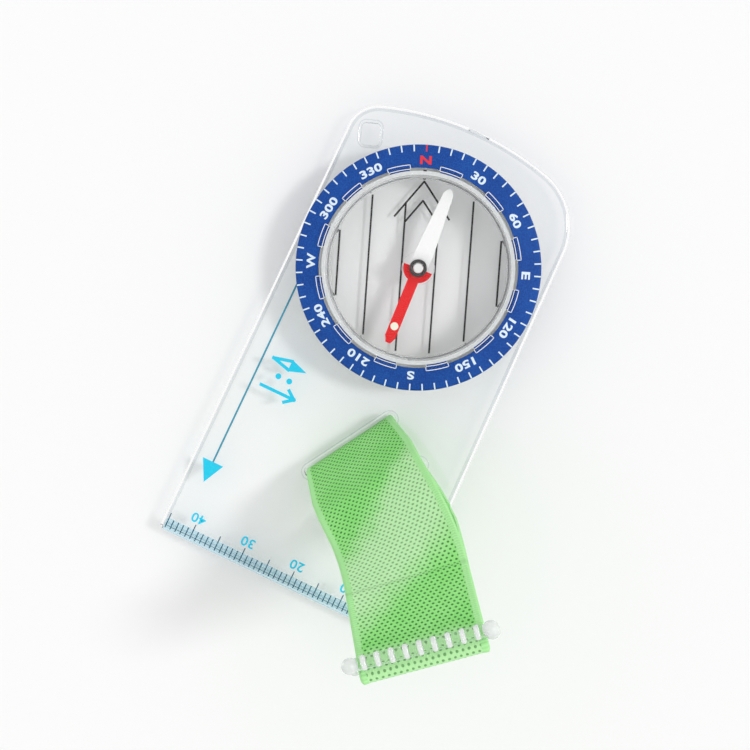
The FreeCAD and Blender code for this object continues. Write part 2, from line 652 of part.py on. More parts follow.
def main():
    os.makedirs("parts", exist_ok=True)
    for piece in PIECES:
        shape = piece()
        shape.exportStep("parts/" + piece.__name__ + ".step")
        print(f"{piece.__name__:20s} solids {len(shape.Solids)} valid {shape.isValid()} "
              f"volume {shape.Volume:9.3f} z {shape.BoundBox.ZMin:7.3f} {shape.BoundBox.ZMax:7.3f}")


main()
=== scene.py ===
"""Looks of a thumb-strap baseplate compass: clear plate, turning dial, needle and knitted strap.

All sizes below are in millimetres and become metres through MM when a mesh is placed.
"""
from __future__ import annotations

import logging
import math
from contextlib import contextmanager
from dataclasses import dataclass, field
from enum import Enum
from typing import Callable, Iterator, Sequence

import bpy
from mathutils import Matrix, Vector

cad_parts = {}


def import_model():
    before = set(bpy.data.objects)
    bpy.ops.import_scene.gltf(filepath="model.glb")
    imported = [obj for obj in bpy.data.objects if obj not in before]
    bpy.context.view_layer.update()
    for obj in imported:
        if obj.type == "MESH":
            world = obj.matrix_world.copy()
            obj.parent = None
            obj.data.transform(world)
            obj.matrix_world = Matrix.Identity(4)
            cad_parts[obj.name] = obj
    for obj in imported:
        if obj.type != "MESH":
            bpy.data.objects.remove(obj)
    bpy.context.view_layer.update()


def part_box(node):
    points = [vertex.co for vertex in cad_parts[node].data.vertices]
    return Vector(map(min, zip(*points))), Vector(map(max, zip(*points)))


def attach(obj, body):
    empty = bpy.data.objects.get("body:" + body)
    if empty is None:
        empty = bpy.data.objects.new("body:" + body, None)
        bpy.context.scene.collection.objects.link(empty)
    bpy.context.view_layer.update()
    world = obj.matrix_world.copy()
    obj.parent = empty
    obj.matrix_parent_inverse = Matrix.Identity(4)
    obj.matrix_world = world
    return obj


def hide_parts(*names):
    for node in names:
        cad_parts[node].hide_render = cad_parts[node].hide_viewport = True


MM = 0.001
MERGE = 0.0005          # corners nearer than this are one
FLAT_ANGLE = 1.0        # degrees between faces that count as one flat face
LEVEL = 0.99999         # upright share of the normal from which a face is shaded flat
LOG = logging.getLogger("compass")
Colour = tuple[float, float, float]
Test = Callable[[Vector, Vector], bool]


# ---------------------------------------------------------------- shader tools
class Wire:
    """A shader socket that takes part in arithmetic."""

    def __init__(self, sheet: Sheet, socket: bpy.types.NodeSocket) -> None:
        """Keeps the socket and the node sheet that it belongs to."""
        self.sheet = sheet
        self.socket = socket

    def _with(self, operation: str, first: object, second: object = None) -> Wire:
        """Adds one Math node with one or two values or wires."""
        sockets = {0: first} if second is None else {0: first, 1: second}
        return self.sheet.node("ShaderNodeMath", {"operation": operation}, sockets, 0)

    def __add__(self, other: object) -> Wire:
        """Adds a value or wire."""
        return self._with("ADD", self, other)

    __radd__ = __add__

    def __mul__(self, other: object) -> Wire:
        """Multiplies by a value or wire."""
        return self._with("MULTIPLY", self, other)

    __rmul__ = __mul__

    def __sub__(self, other: object) -> Wire:
        """Takes a value or wire away."""
        return self._with("SUBTRACT", self, other)

    def __rsub__(self, other: object) -> Wire:
        """Takes this wire away from a value."""
        return self._with("SUBTRACT", other, self)

    def __truediv__(self, other: object) -> Wire:
        """Divides by a value or wire."""
        return self._with("DIVIDE", self, other)

    def __rtruediv__(self, other: object) -> Wire:
        """Divides a value by this wire."""
        return self._with("DIVIDE", other, self)

    def __pow__(self, other: object) -> Wire:
        """Raises to a power."""
        return self._with("POWER", self, other)

    def __rpow__(self, other: object) -> Wire:
        """Raises a value to the power of this wire."""
        return self._with("POWER", other, self)

    def floor(self) -> Wire:
        """Rounds down."""
        return self._with("FLOOR", self)

    def fraction(self) -> Wire:
        """Keeps the part after the point."""
        return self._with("FRACT", self)

    def sine(self) -> Wire:
        """Sine of an angle in radians."""
        return self._with("SINE", self)

    def root(self) -> Wire:
        """Square root."""
        return self._with("SQRT", self)

    def size(self) -> Wire:
        """Absolute value."""
        return self._with("ABSOLUTE", self)

    def ramp(self, low: float, high: float) -> Wire:
        """Smooth step from zero at low to one at high.

        Args:
            low: the value where the step starts.
            high: the value where it ends.

        Returns:
            The stepped wire.
        """
        settings = {"interpolation_type": "SMOOTHSTEP"}
        sockets = {"Value": self, "From Min": low, "From Max": high}
        return self.sheet.node("ShaderNodeMapRange", settings, sockets, "Result")


class Sheet:
    """The node sheet of one material."""

    def __init__(self, name: str) -> None:
        """Makes an empty material.

        Args:
            name: the material's name.
        """
        self.material = bpy.data.materials.new(name)
        self.material.use_nodes = True
        self.material.node_tree.nodes.clear()

    def node(self, kind: str, settings: dict | None = None, sockets: dict | None = None,
             output: int | str = 0) -> Wire:
        """Adds a node.

        Args:
            kind: the node's type name.
            settings: its properties, set first; stops fills a colour ramp.
            sockets: values or wires by input name or number.
            output: the output that the caller wants.

        Returns:
            The chosen output.
        """
        made = self.material.node_tree.nodes.new(kind)
        for name, value in (settings or {}).items():
            if name == "stops":
                for index, (place, shade) in enumerate(value):
                    elements = made.color_ramp.elements
                    stop = elements[index] if index < 2 else elements.new(place)
                    stop.position = place
                    stop.color = (*shade, 1.0)
            else:
                setattr(made, name, value)
        for name, value in (sockets or {}).items():
            self.feed(made.inputs[name], value)
        return Wire(self, made.outputs[output])

    def feed(self, socket: bpy.types.NodeSocket, value: object) -> None:
        """Links a wire to a socket, or sets its value.

        Args:
            socket: the input to feed.
            value: a wire, a number, a colour or a vector.
        """
        if isinstance(value, Wire):
            self.material.node_tree.links.new(value.socket, socket)
        elif isinstance(value, tuple) and socket.type == "RGBA":
            socket.default_value = (*value, 1.0)
        else:
            socket.default_value = value

    def place(self, kind: str = "Object") -> Wire:
        """Texture coordinates of the piece itself."""
        return self.node("ShaderNodeTexCoord", None, None, kind)

    def noise(self, scale: float, detail: float = 2.0, place: Wire | None = None,
              roughness: float = 0.5) -> Wire:
        """Noise from zero to one.

        Args:
            scale: waves per unit of the coordinates.
            detail: octaves.
            place: coordinates, the object's own where none are given.
            roughness: strength of the finer octaves.

        Returns:
            The noise value.
        """
        sockets = {"Vector": place or self.place(), "Scale": scale, "Detail": detail,
                   "Roughness": roughness}
        return self.node("ShaderNodeTexNoise", None, sockets, 0)

    def blend(self, share: object, first: object, second: object) -> Wire:
        """Mixes two colours, the share being how much of the second one shows."""
        settings = {"data_type": "RGBA"}
        return self.node("ShaderNodeMix", settings, {0: share, 6: first, 7: second}, 2)

    def bump(self, height: Wire, distance: float, strength: float = 1.0) -> Wire:
        """Surface normal from a height between zero and one, where one stands for a distance in metres."""
        sockets = {"Height": height, "Distance": distance, "Strength": strength}
        return self.node("ShaderNodeBump", None, sockets, 0)

    def finish(self, surface: Wire) -> bpy.types.Material:
        """Joins a shader to the output.

        Args:
            surface: the shader.

        Returns:
            The finished material.
        """
        output = self.material.node_tree.nodes.new("ShaderNodeOutputMaterial")
        self.feed(output.inputs["Surface"], surface)
        return self.material

    def lighting_rays(self) -> Wire:
        """Picks the rays that carry light to surfaces beneath.

        Returns:
            One for those rays, otherwise zero.
        """
        shadow = self.node("ShaderNodeLightPath", None, None, "Is Shadow Ray")
        diffuse = self.node("ShaderNodeLightPath", None, None, "Is Diffuse Ray")
        return self.node("ShaderNodeMath", {"operation": "MAXIMUM"}, {0: shadow, 1: diffuse}, 0)

    def principled(self, sockets: dict) -> Wire:
        """One Principled shader with the given sockets."""
        return self.node("ShaderNodeBsdfPrincipled", None, sockets, 0)

    def shadowless(self, share: Wire, surface: Wire, colour: Colour) -> bpy.types.Material:
        """Finished material whose surface gives way to a clear one by a share."""
        through = self.node("ShaderNodeBsdfTransparent", None, {"Color": colour}, 0)
        return self.finish(self.node("ShaderNodeMixShader", None, {0: share, 1: surface, 2: through}))


# ---------------------------------------------------------------- finishes
@dataclass(frozen=True)
class ClearPlastic:
    """Polished see-through plastic with faint handling marks.

    Light from the lamps passes straight through it, so that what lies under stays lit.
    """

    name: str
    tint: Colour = (0.985, 0.995, 0.995)
    shade: Colour = (0.965, 0.97, 0.972)
    roughness: float = 0.02
    ior: float = 1.49
    smear_scale: float = 90.0
    mark_scale: float = 900.0
    mark_depth: float = 0.004

    def build(self) -> bpy.types.Material:
        """Makes the material.

        Returns:
            The finished material.
        """
        sheet = Sheet(self.name)
        smear = sheet.noise(self.smear_scale, 3.0)
        marks = sheet.noise(self.mark_scale, 4.0, None, 0.6)
        normal = sheet.bump(marks, self.mark_depth * MM, 0.35)
        glass = sheet.principled({
            "Base Color": self.tint, "Transmission Weight": 1.0, "IOR": self.ior,
            "Roughness": smear * self.roughness + self.roughness * 0.5, "Normal": normal})
        return sheet.shadowless(sheet.lighting_rays(), glass, self.shade)


@dataclass(frozen=True)
class MouldedPlastic:
    """Opaque plastic with a fine grain and slight shade changes."""

    name: str
    colour: Colour
    grain_colour: Colour
    roughness: float = 0.45
    grain_scale: float = 6000.0
    grain_depth: float = 0.012
    cloud_scale: float = 160.0
    coat: float = 0.0
    gloss: float = 0.5

    def build(self) -> bpy.types.Material:
        """Makes the material.

        Returns:
            The finished material.
        """
        sheet = Sheet(self.name)
        grain = sheet.noise(self.grain_scale, 2.0)
        cloud = sheet.noise(self.cloud_scale, 3.0)
        shade = sheet.blend(grain.ramp(0.35, 0.7) * 0.7 + cloud.ramp(0.3, 0.8) * 0.3,
                            self.colour, self.grain_colour)
        return sheet.finish(sheet.principled({
            "Base Color": shade, "Roughness": cloud * 0.1 + self.roughness - 0.05,
            "Coat Weight": self.coat, "Specular IOR Level": self.gloss,
            "Normal": sheet.bump(grain, self.grain_depth * MM, 0.5)}))


@dataclass(frozen=True)
class Ink:
    """Printed ink, a little uneven in density."""

    name: str
    colour: Colour
    thin_colour: Colour
    roughness: float = 0.5
    patch_scale: float = 2500.0
    patch_depth: float = 0.004

    def build(self) -> bpy.types.Material:
        """Makes the material.

        Returns:
            The finished material.
        """
        sheet = Sheet(self.name)
        patches = sheet.noise(self.patch_scale, 3.0)
        shade = sheet.blend(patches.ramp(0.45, 0.8), self.colour, self.thin_colour)
        return sheet.finish(sheet.principled({
            "Base Color": shade, "Roughness": patches * 0.15 + self.roughness,
            "Normal": sheet.bump(patches, self.patch_depth * MM, 0.4)}))


@dataclass(frozen=True)
class Wash:
    """Thin see-through colour laid over a band: ink on the ruler, painted light on the lid."""

    name: str
    colour: Colour
    density: float
    patch_scale: float = 1800.0

    def build(self) -> bpy.types.Material:
        """Makes the material.

        Returns:
            The finished material.
        """
        sheet = Sheet(self.name)
        patches = sheet.noise(self.patch_scale, 3.0)
        return sheet.finish(sheet.principled({
            "Base Color": self.colour, "Roughness": 0.5,
            "Alpha": patches * 0.2 + (self.density - 0.1)}))


@dataclass(frozen=True)
class Metal:
    """Drawn or rolled steel with fine lines."""

    name: str
    colour: Colour
    roughness: float = 0.25
    line_scales: tuple[float, float, float] = (400.0, 9000.0, 9000.0)
    line_depth: float = 0.003

    def build(self) -> bpy.types.Material:
        """Makes the material.

        Returns:
            The finished material.
        """
        sheet = Sheet(self.name)
        stretch = sheet.node("ShaderNodeMapping", None,
                             {"Vector": sheet.place(), "Scale": self.line_scales}, 0)
        lines = sheet.noise(1.0, 3.0, stretch)
        return sheet.finish(sheet.principled({
            "Base Color": self.colour, "Metallic": 1.0,
            "Roughness": lines * 0.2 + self.roughness,
            "Normal": sheet.bump(lines, self.line_depth * MM, 0.4)}))


@dataclass(frozen=True)
class MilkyPlastic:
    """Translucent moulded plastic that glows a little where light gets in."""

    name: str
    colour: Colour
    clearness: float
    roughness: float = 0.2
    cloud_scale: float = 600.0
    cloud_depth: float = 0.006
    light_share: float = 0.8

    def build(self) -> bpy.types.Material:
        """Makes the material.

        Returns:
            The finished material.
        """
        sheet = Sheet(self.name)
        cloud = sheet.noise(self.cloud_scale, 3.0)
        solid = sheet.principled({
            "Base Color": self.colour, "Roughness": cloud * 0.12 + self.roughness,
            "Transmission Weight": self.clearness, "IOR": 1.45, "Coat Weight": 0.4,
            "Normal": sheet.bump(cloud, self.cloud_depth * MM, 0.4)})
        share = sheet.lighting_rays() * (self.clearness * self.light_share)
        return sheet.shadowless(share, solid, self.colour)


@dataclass(frozen=True)
class KnitWebbing:
    """Knitted elastic: rows of loops with dark pin holes between them, on the piece's own UV map. The holes'
    dark green is painted shade; the lighter loop tops and the pale bands are painted highlights.

    The UV map is in millimetres, across the webbing and along it.
    """

    name: str
    yarn: Colour = (0.15, 0.75, 0.085)
    lit_yarn: Colour = (0.42, 0.92, 0.32)
    # painted shade: dark green in the pin holes
    hole: Colour = (0.006, 0.19, 0.01)
    # painted highlight: the pale colour where the lamp lights the webbing most
    stretched: Colour = (0.62, 0.98, 0.53)
    selvage: Colour = (0.5, 0.93, 0.42)
    half_width: float = 10.5
    selvage_width: float = 1.25
    column: float = 0.98
    row: float = 0.62
    hole_width: float = 0.24
    hole_length: float = 0.17
    strand_pitch: float = 26.0
    binding_pitch: float = 0.42
    stretch_slope: float = 0.8
    stretch_middle: float = -7.0
    stretch_drift: float = 7.0
    stretch_fade: tuple[float, float] = (4.0, 13.0)
    fold_fade: tuple[float, float] = (12.5, 15.5)
    relief: float = 0.22

    def build(self) -> bpy.types.Material:
        """Makes the material.

        Returns:
            The finished material.
        """
        sheet = Sheet(self.name)
        place = sheet.node("ShaderNodeUVMap", {"uv_map": "webbing"})
        across = sheet.node("ShaderNodeSeparateXYZ", None, {0: place}, 0)
        along = sheet.node("ShaderNodeSeparateXYZ", None, {0: place}, 1)
        wander = sheet.noise(0.8, 2.0, place)
        across = across + (wander - 0.5) * 0.22
        along = along + (sheet.noise(0.5, 2.0, place) - 0.5) * 0.3
        rows = along / self.row
        columns = across / self.column + rows.floor() * 0.5
        side = (columns.fraction() - 0.5) * self.column
        rise = (rows.fraction() - 0.5) * self.row
        far = ((side / self.hole_width) ** 2 + (rise / self.hole_length) ** 2).root()
        hole = 1 - far.ramp(0.55, 1.25)
        loop = (side.size() / self.column * math.tau).sine() * 0.5 + 0.5
        strand = ((side + rise * 1.3) * self.strand_pitch).sine() * 0.5 + 0.5
        edge = (across.size() - (self.half_width - self.selvage_width)).ramp(-0.1, 0.15)
        patch = sheet.noise(0.12, 3.0, place).ramp(0.3, 0.7)
        yarn = sheet.blend(loop * 0.45 + strand * 0.2 + patch * 0.25, self.yarn, self.lit_yarn)
        # Painted highlight: a pale band slanting across the strap, and a paler run past the fold fade, where
        # the lamp lights the webbing most.
        drift = (sheet.noise(0.25, 3.0, place) - 0.5) * self.stretch_drift
        middle = (along + across * self.stretch_slope + drift - self.stretch_middle).size()
        fold = (along + drift * 0.3).ramp(*self.fold_fade)
        pale = (1 - middle.ramp(*self.stretch_fade)) * 0.85 + fold * 0.7
        yarn = sheet.blend(pale, yarn, self.stretched)
        # Painted shade: the pin holes take the dark hole colour.
        knit = sheet.blend(hole * (0.95 - pale * 0.4), yarn, self.hole)
        rib = ((along / self.binding_pitch).fraction() - 0.5).size() * 2
        binding = sheet.blend(rib * 0.35, self.selvage, self.yarn)
        shade = sheet.blend(edge, knit, binding)
        knit_height = (1 - hole) * 0.6 + loop * 0.25 + strand * 0.15
        height = knit_height * (1 - edge) + (1 - rib * 0.5) * edge
        fuzz = sheet.noise(14.0, 3.0, place)
        normal = sheet.bump(height + fuzz * 0.12, self.relief * MM, 0.9)
        return sheet.finish(sheet.principled({
            "Base Color": shade, "Roughness": hole * 0.1 + 0.78, "Sheen Weight": 0.1,
            "Sheen Roughness": 0.5, "Sheen Tint": (0.6, 1.0, 0.55), "Normal": normal}))


@dataclass(frozen=True)
class SewnThread:
    """Twisted sewing thread."""

    name: str
    colour: Colour
    dark: Colour

    def build(self) -> bpy.types.Material:
        """Makes the material.

        Returns:
            The finished material.
        """
        sheet = Sheet(self.name)
        turned = sheet.node("ShaderNodeMapping", None, {
            "Vector": sheet.place(), "Rotation": (0.0, 0.6, 0.9)}, 0)
        wave = sheet.node("ShaderNodeTexWave", {"bands_direction": "X"},
                          {"Vector": turned, "Scale": 900.0, "Distortion": 1.0}, 1)
        return sheet.finish(sheet.principled({
            "Base Color": sheet.blend(wave, self.dark, self.colour), "Roughness": wave * 0.1 + 0.7,
            "Sheen Weight": 0.3, "Normal": sheet.bump(wave, 0.04 * MM, 0.8)}))


class Finish(Enum):
    """Every finish on the compass, by the record's slot or by its ink."""

    ACRYLIC = ClearPlastic("clear_acrylic_finish", (0.992, 0.998, 0.998), (0.993, 0.995, 0.996))
    # Painted shade: grey-tinted clear plastic on the plate's steep edge faces and the upper border of their
    # bevels, for the dark lines that the edges show.
    EDGE = ClearPlastic("shaded_edge_finish", (0.5, 0.56, 0.59), (0.8, 0.83, 0.85), 0.04)
    BROW = ClearPlastic("shaded_brow_finish", (0.72, 0.76, 0.78), (0.9, 0.92, 0.93), 0.03)
    LID = ClearPlastic("clear_lid_finish", (0.998, 1.0, 1.0), (0.996, 0.997, 0.998), 0.012, 1.16)
    CAPSULE = ClearPlastic("clear_capsule_finish", (0.998, 1.0, 1.0), (0.996, 0.997, 0.998), 0.02, 1.14)
    HUB = ClearPlastic("clear_hub_finish", (0.995, 0.995, 0.995), (0.99, 0.99, 0.99), 0.03, 1.2)
    SLIDER = ClearPlastic("clear_slider_finish", (0.97, 0.99, 0.98), (0.93, 0.95, 0.94), 0.05, 1.36)
    BLUE = MouldedPlastic("blue_plastic_finish", (0.004, 0.046, 0.26), (0.011, 0.1, 0.43), 0.5, 5200.0,
                          0.014, gloss=0.2)
    NYLON = MouldedPlastic("white_nylon_finish", (0.8, 0.81, 0.8), (0.86, 0.87, 0.86), 0.5)
    PLUG = MouldedPlastic("fill_plug_plastic_finish", (0.74, 0.76, 0.77), (0.82, 0.83, 0.84), 0.45)
    RED = MouldedPlastic("red_lacquer_finish", (0.78, 0.005, 0.01), (0.84, 0.012, 0.015), 0.35, 3000.0,
                         0.004, coat=0.15, gloss=0.25)
    BLACK = MouldedPlastic("black_plastic_finish", (0.012, 0.012, 0.013), (0.03, 0.03, 0.032), 0.3, 4000.0,
                           0.004, coat=0.3)
    LUME = MouldedPlastic("luminous_paint_finish", (0.92, 0.89, 0.72), (0.96, 0.94, 0.82), 0.6, 5000.0, 0.01)
    ENAMEL = MouldedPlastic("white_enamel_finish", (0.95, 0.95, 0.945), (0.98, 0.98, 0.975), 0.35, 3000.0,
                            0.003, coat=0.1, gloss=0.3)
    # Painted light: milky white for the lid's skirt, which keeps the zone shaded by the blue ring light.
    FROST = MilkyPlastic("whitened_skirt_finish", (0.95, 0.96, 0.965), 0.25, 0.45)
    # Painted highlight: near-white strips where the lugs' edges catch the light.
    LUG_EDGE = MilkyPlastic("lug_highlight_finish", (0.95, 0.97, 0.99), 0.1, 0.3)
    JEWEL = MilkyPlastic("jewel_finish", (0.93, 0.93, 0.92), 0.15, 0.15)
    RIB = MilkyPlastic("slider_rib_finish", (0.965, 0.98, 0.97), 0.45, 0.2)
    SPRING = Metal("spring_steel_finish", (0.62, 0.63, 0.65), 0.25)
    PIVOT = Metal("pivot_steel_finish", (0.72, 0.73, 0.75), 0.15)
    MAGNET = Metal("magnet_steel_finish", (0.42, 0.43, 0.45), 0.35)
    WEBBING = KnitWebbing("green_webbing_finish")
    THREAD = SewnThread("green_thread_finish", (0.2, 0.72, 0.14), (0.04, 0.36, 0.04))
    PLATE_INK = Ink("cyan_ink_finish", (0.0, 0.6, 0.86), (0.01, 0.66, 0.9))
    RULER_INK = Ink("dark_teal_ink_finish", (0.012, 0.1, 0.16), (0.03, 0.16, 0.24))
    ARROW_INK = Ink("deep_cyan_ink_finish", (0.02, 0.27, 0.4), (0.04, 0.34, 0.47))
    DIAL_INK = Ink("pale_dial_ink_finish", (0.74, 0.86, 0.97), (0.6, 0.74, 0.9))
    NORTH_INK = Ink("red_dial_ink_finish", (0.8, 0.02, 0.03), (0.7, 0.03, 0.05))
    # Painted light: a pale wash that lightens the lid's zone shaded by the blue ring.
    RIM = Wash("painted_light_band_finish", (0.9, 0.92, 0.93), 0.5)
    RULER_WASH = Wash("ruler_wash_finish", (0.45, 0.74, 0.86), 0.4)
    LINE_INK = Ink("black_line_ink_finish", (0.008, 0.008, 0.009), (0.02, 0.02, 0.022))

    def made(self) -> bpy.types.Material:
        """The finish's material, made once."""
        return bpy.data.materials.get(self.value.name) or self.value.build()


# ---------------------------------------------------------------- modelling tools
class Blank:
    """One mesh piece on the bench, in millimetres until it is placed."""

    def __init__(self, name: str, item: bpy.types.Object) -> None:
        """Takes over a new object.

        Args:
            name: the piece's name.
            item: the object that holds its mesh.
        """
        self.item = item
        item.name = name
        item.data.name = name

    @staticmethod
    def clear_bench() -> None:
        """Leaves edit mode with nothing selected."""
        if bpy.context.object and bpy.context.object.mode != "OBJECT":
            bpy.ops.object.mode_set(mode="OBJECT")
        bpy.ops.object.select_all(action="DESELECT")

    @contextmanager
    def editing(self) -> Iterator[None]:
        """Edit mode with the whole mesh selected, and object mode again afterwards.

        Yields:
            Nothing, while the mesh is open to edit mode operators.
        """
        self.activate()
        bpy.ops.object.mode_set(mode="EDIT")
        bpy.ops.mesh.select_all(action="SELECT")
        yield
        bpy.ops.object.mode_set(mode="OBJECT")

    @classmethod
    def sheet(cls, name: str, width: float, length: float, columns: int = 1, rows: int = 1) -> Blank:
        """Flat grid centred on the origin.

        Args:
            name: the piece's name.
            width: its size along X.
            length: its size along Y.
            columns: its cells along X.
            rows: its cells along Y.

        Returns:
            The new piece.
        """
        cls.clear_bench()
        bpy.ops.mesh.primitive_grid_add(x_subdivisions=columns, y_subdivisions=rows, size=1)
        piece = cls(name, bpy.context.object)
        piece.item.data.transform(Matrix.Diagonal((width, length, 1, 1)))
        return piece

    @classmethod
    def rod(cls, name: str, radius: float, length: float, sides: int = 32) -> Blank:
        """Round bar along Z, standing on the origin.

        Args:
            name: the piece's name.
            radius: its radius.
            length: its length.
            sides: its facets.

        Returns:
            The new piece.
        """
        cls.clear_bench()
        bpy.ops.mesh.primitive_cylinder_add(vertices=sides, radius=radius, depth=length,
                                            location=(0, 0, length / 2))
        bpy.ops.object.transform_apply(location=True, rotation=True, scale=True)
        return cls(name, bpy.context.object)

    @classmethod
    def lettering(cls, name: str, text: str, height: float, depth: float, weight: float = 0.012,
                  stretch: float = 1.0) -> Blank:
        """Raised figures centred on the origin.

        Args:
            name: the piece's name.
            text: the figures.
            height: the height of a capital.
            depth: how far they stand up.
            weight: how much the strokes are thickened, as a share of the letter's size.
            stretch: how much wider than usual they are.

        Returns:
            The new piece.
        """
        cls.clear_bench()
        bpy.ops.object.text_add()
        item = bpy.context.object
        item.data.body = text
        item.data.align_x = "CENTER"
        item.data.resolution_u = 4
        item.data.extrude = depth
        item.data.offset = weight
        item.data.space_character = 1.04
        bpy.ops.object.convert(target="MESH")
        piece = cls(name, bpy.context.object)
        low, high = piece.limits()
        scale = height / (high.y - low.y)
        middle = (low + high) / 2
        move = Matrix.Translation((-middle.x, -middle.y, -low.z))
        piece.item.data.transform(Matrix.Diagonal((scale * stretch, scale, 1, 1)) @ move)
        return piece

    @classmethod
    def turned(cls, name: str, profile: Sequence[tuple[float, float]], steps: int = 96) -> Blank:
        """Piece spun about the Z axis from (radius, height) corners.

        Args:
            name: the piece's name.
            profile: the corners, closed on themselves or ending on the axis.
            steps: copies round the full turn.

        Returns:
            The new piece.
        """
        cls.clear_bench()
        bpy.ops.mesh.primitive_plane_add(size=1)
        piece = cls(name, bpy.context.object)
        mesh = piece.item.data
        mesh.clear_geometry()
        mesh.from_pydata([(radius, 0, height) for radius, height in profile],
                         [(index, index + 1) for index in range(len(profile) - 1)], [])
        with piece.editing():
            bpy.ops.mesh.spin(steps=steps, angle=math.tau, center=(0, 0, 0), axis=(0, 0, 1))
            bpy.ops.mesh.select_all(action="SELECT")
            bpy.ops.mesh.remove_doubles(threshold=MERGE)
            bpy.ops.mesh.normals_make_consistent(inside=False)
        return piece

    @classmethod
    def from_node(cls, name: str, node: str, cuts: tuple[float, ...] = ()) -> Blank:
        """Copy of a CAD node, merged and with its flat faces whole again.

        Args:
            name: the piece's name.
            node: the node's name.
            cuts: heights along Y where level faces stay cut, so that each hole meets a cut.

        Returns:
            The new piece, in millimetres.
        """
        cls.clear_bench()
        mesh = bpy.data.objects[node].data.copy()
        mesh.materials.clear()
        item = bpy.data.objects.new(name, mesh)
        bpy.context.scene.collection.objects.link(item)
        piece = cls(name, item)
        mesh.transform(Matrix.Scale(1 / MM, 4))
        with piece.editing():
            bpy.ops.mesh.remove_doubles(threshold=MERGE)
            for place in cuts:
                bpy.ops.mesh.select_all(action="SELECT")
                bpy.ops.mesh.bisect(plane_co=(0.0, place, 0.0), plane_no=(0.0, 1.0, 0.0))
                bpy.ops.mesh.mark_seam()
            bpy.ops.mesh.select_all(action="SELECT")
            bpy.ops.mesh.dissolve_limited(angle_limit=math.radians(FLAT_ANGLE), delimit={"SEAM"})
        return piece

    def limits(self) -> tuple[Vector, Vector]:
        """Measures the mesh.

        Returns:
            Its lowest and its highest corner.
        """
        points = [vertex.co for vertex in self.item.data.vertices]
        low = Vector(min(point[axis] for point in points) for axis in range(3))
        high = Vector(max(point[axis] for point in points) for axis in range(3))
        return low, high

    def raise_all(self, height: float) -> Blank:
        """Extrudes the whole flat piece upwards.

        Args:
            height: how far.

        Returns:
            The piece.
        """
        with self.editing():
            bpy.ops.mesh.extrude_region_move(TRANSFORM_OT_translate={"value": (0, 0, height)})
            bpy.ops.mesh.select_all(action="SELECT")
            bpy.ops.mesh.normals_make_consistent(inside=False)
        return self

    def activate(self) -> None:
        """Makes this the only selected and active object."""
        self.clear_bench()
        self.item.select_set(True)
        bpy.context.view_layer.objects.active = self.item

    def modify(self, kind: str, **settings: object) -> Blank:
        """Adds a modifier and applies it.

        Args:
            kind: the modifier's type.
            **settings: its properties.

        Returns:
            The piece.
        """
        self.activate()
        modifier = self.item.modifiers.new(kind.lower(), kind)
        for name, value in settings.items():
            setattr(modifier, name, value)
        bpy.ops.object.modifier_apply(modifier=modifier.name)
        return self

    def round_edges(self, width: float, segments: int = 2, angle: float = 35.0,
                    clamp: bool = True) -> Blank:
        """Bevels every edge sharper than an angle.

        Args:
            width: the bevel's width.
            segments: its steps.
            angle: the least angle in degrees.
            clamp: keeps bevels from meeting each other.

        Returns:
            The piece.
        """
        return self.modify("BEVEL", width=width, segments=segments, limit_method="ANGLE",
                           angle_limit=math.radians(angle), harden_normals=False,
                           use_clamp_overlap=clamp, loop_slide=False)

    def bend(self, rule: Callable[[Vector], Vector]) -> Blank:
        """Moves every vertex by a rule.

        Args:
            rule: gives each vertex its new place.

        Returns:
            The piece.
        """
        for vertex in self.item.data.vertices:
            vertex.co = rule(vertex.co.copy())
        self.item.data.update()
        return self

    def move(self, matrix: Matrix) -> Blank:
        """Moves the mesh by a matrix."""
        self.item.data.transform(matrix)
        return self

    def copy(self, name: str, matrix: Matrix) -> Blank:
        """Copies the piece with its own mesh.

        Args:
            name: the copy's name.
            matrix: where the copy goes.

        Returns:
            The copy.
        """
        twin = self.item.copy()
        twin.data = self.item.data.copy()
        bpy.context.scene.collection.objects.link(twin)
        twin.data.transform(matrix)
        return Blank(name, twin)

    def join(self, others: Sequence[Blank]) -> Blank:
        """Joins other pieces into this one.

        Args:
            others: the pieces to take in.

        Returns:
            The joined piece.
        """
        self.activate()
        for other in others:
            other.item.select_set(True)
        bpy.ops.object.join()
        return self

    @staticmethod
    def merged(name: str, pieces: Sequence[Blank]) -> Blank:
        """Joins pieces into the first of them, under a new name."""
        pieces[0].join(pieces[1:]).item.name = name
        return pieces[0]

    def discard(self) -> None:
        """Takes a used pattern off the bench."""
        bpy.data.objects.remove(self.item)

    def accent(self, finish: Finish, test: Test) -> None:
        """Gives the faces whose middle passes a test a second finish, once the piece is placed.

        Args:
            finish: the second finish.
            test: says yes or no to a face's middle, in millimetres, and its normal.
        """
        self.item.data.materials.append(finish.made())
        slot = len(self.item.data.materials) - 1
        for face in self.item.data.polygons:
            if test(face.center / MM, face.normal):
                face.material_index = slot

    def place(self, finish: Finish, body: str, *nodes: str, smooth: float = 30.0) -> bpy.types.Object:
        """Brings the piece to metres, shades and dresses it, and fixes it to a body.

        Args:
            finish: its finish.
            body: the body that it rides on.
            *nodes: the CAD nodes that it stands for.
            smooth: edges below this angle in degrees are shaded smooth.

        Returns:
            The finished object.
        """
        self.item.data.transform(Matrix.Scale(MM, 4))
        self.activate()
        bpy.ops.object.shade_smooth_by_angle(angle=math.radians(smooth))
        for face in self.item.data.polygons:
            if abs(face.normal.z) > LEVEL:
                face.use_smooth = False
        self.item.data.materials.clear()
        self.item.data.materials.append(finish.made())
        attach(self.item, body)
        if nodes:
            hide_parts(*nodes)
        LOG.info("%s: %d faces", self.item.name, len(self.item.data.polygons))
        return self.item


def turn_z(degrees: float) -> Matrix:
    """Rotation about Z."""
    return Matrix.Rotation(math.radians(degrees), 4, "Z")


def shift(x: float, y: float, z: float = 0.0) -> Matrix:
    """Translation."""
    return Matrix.Translation((x, y, z))


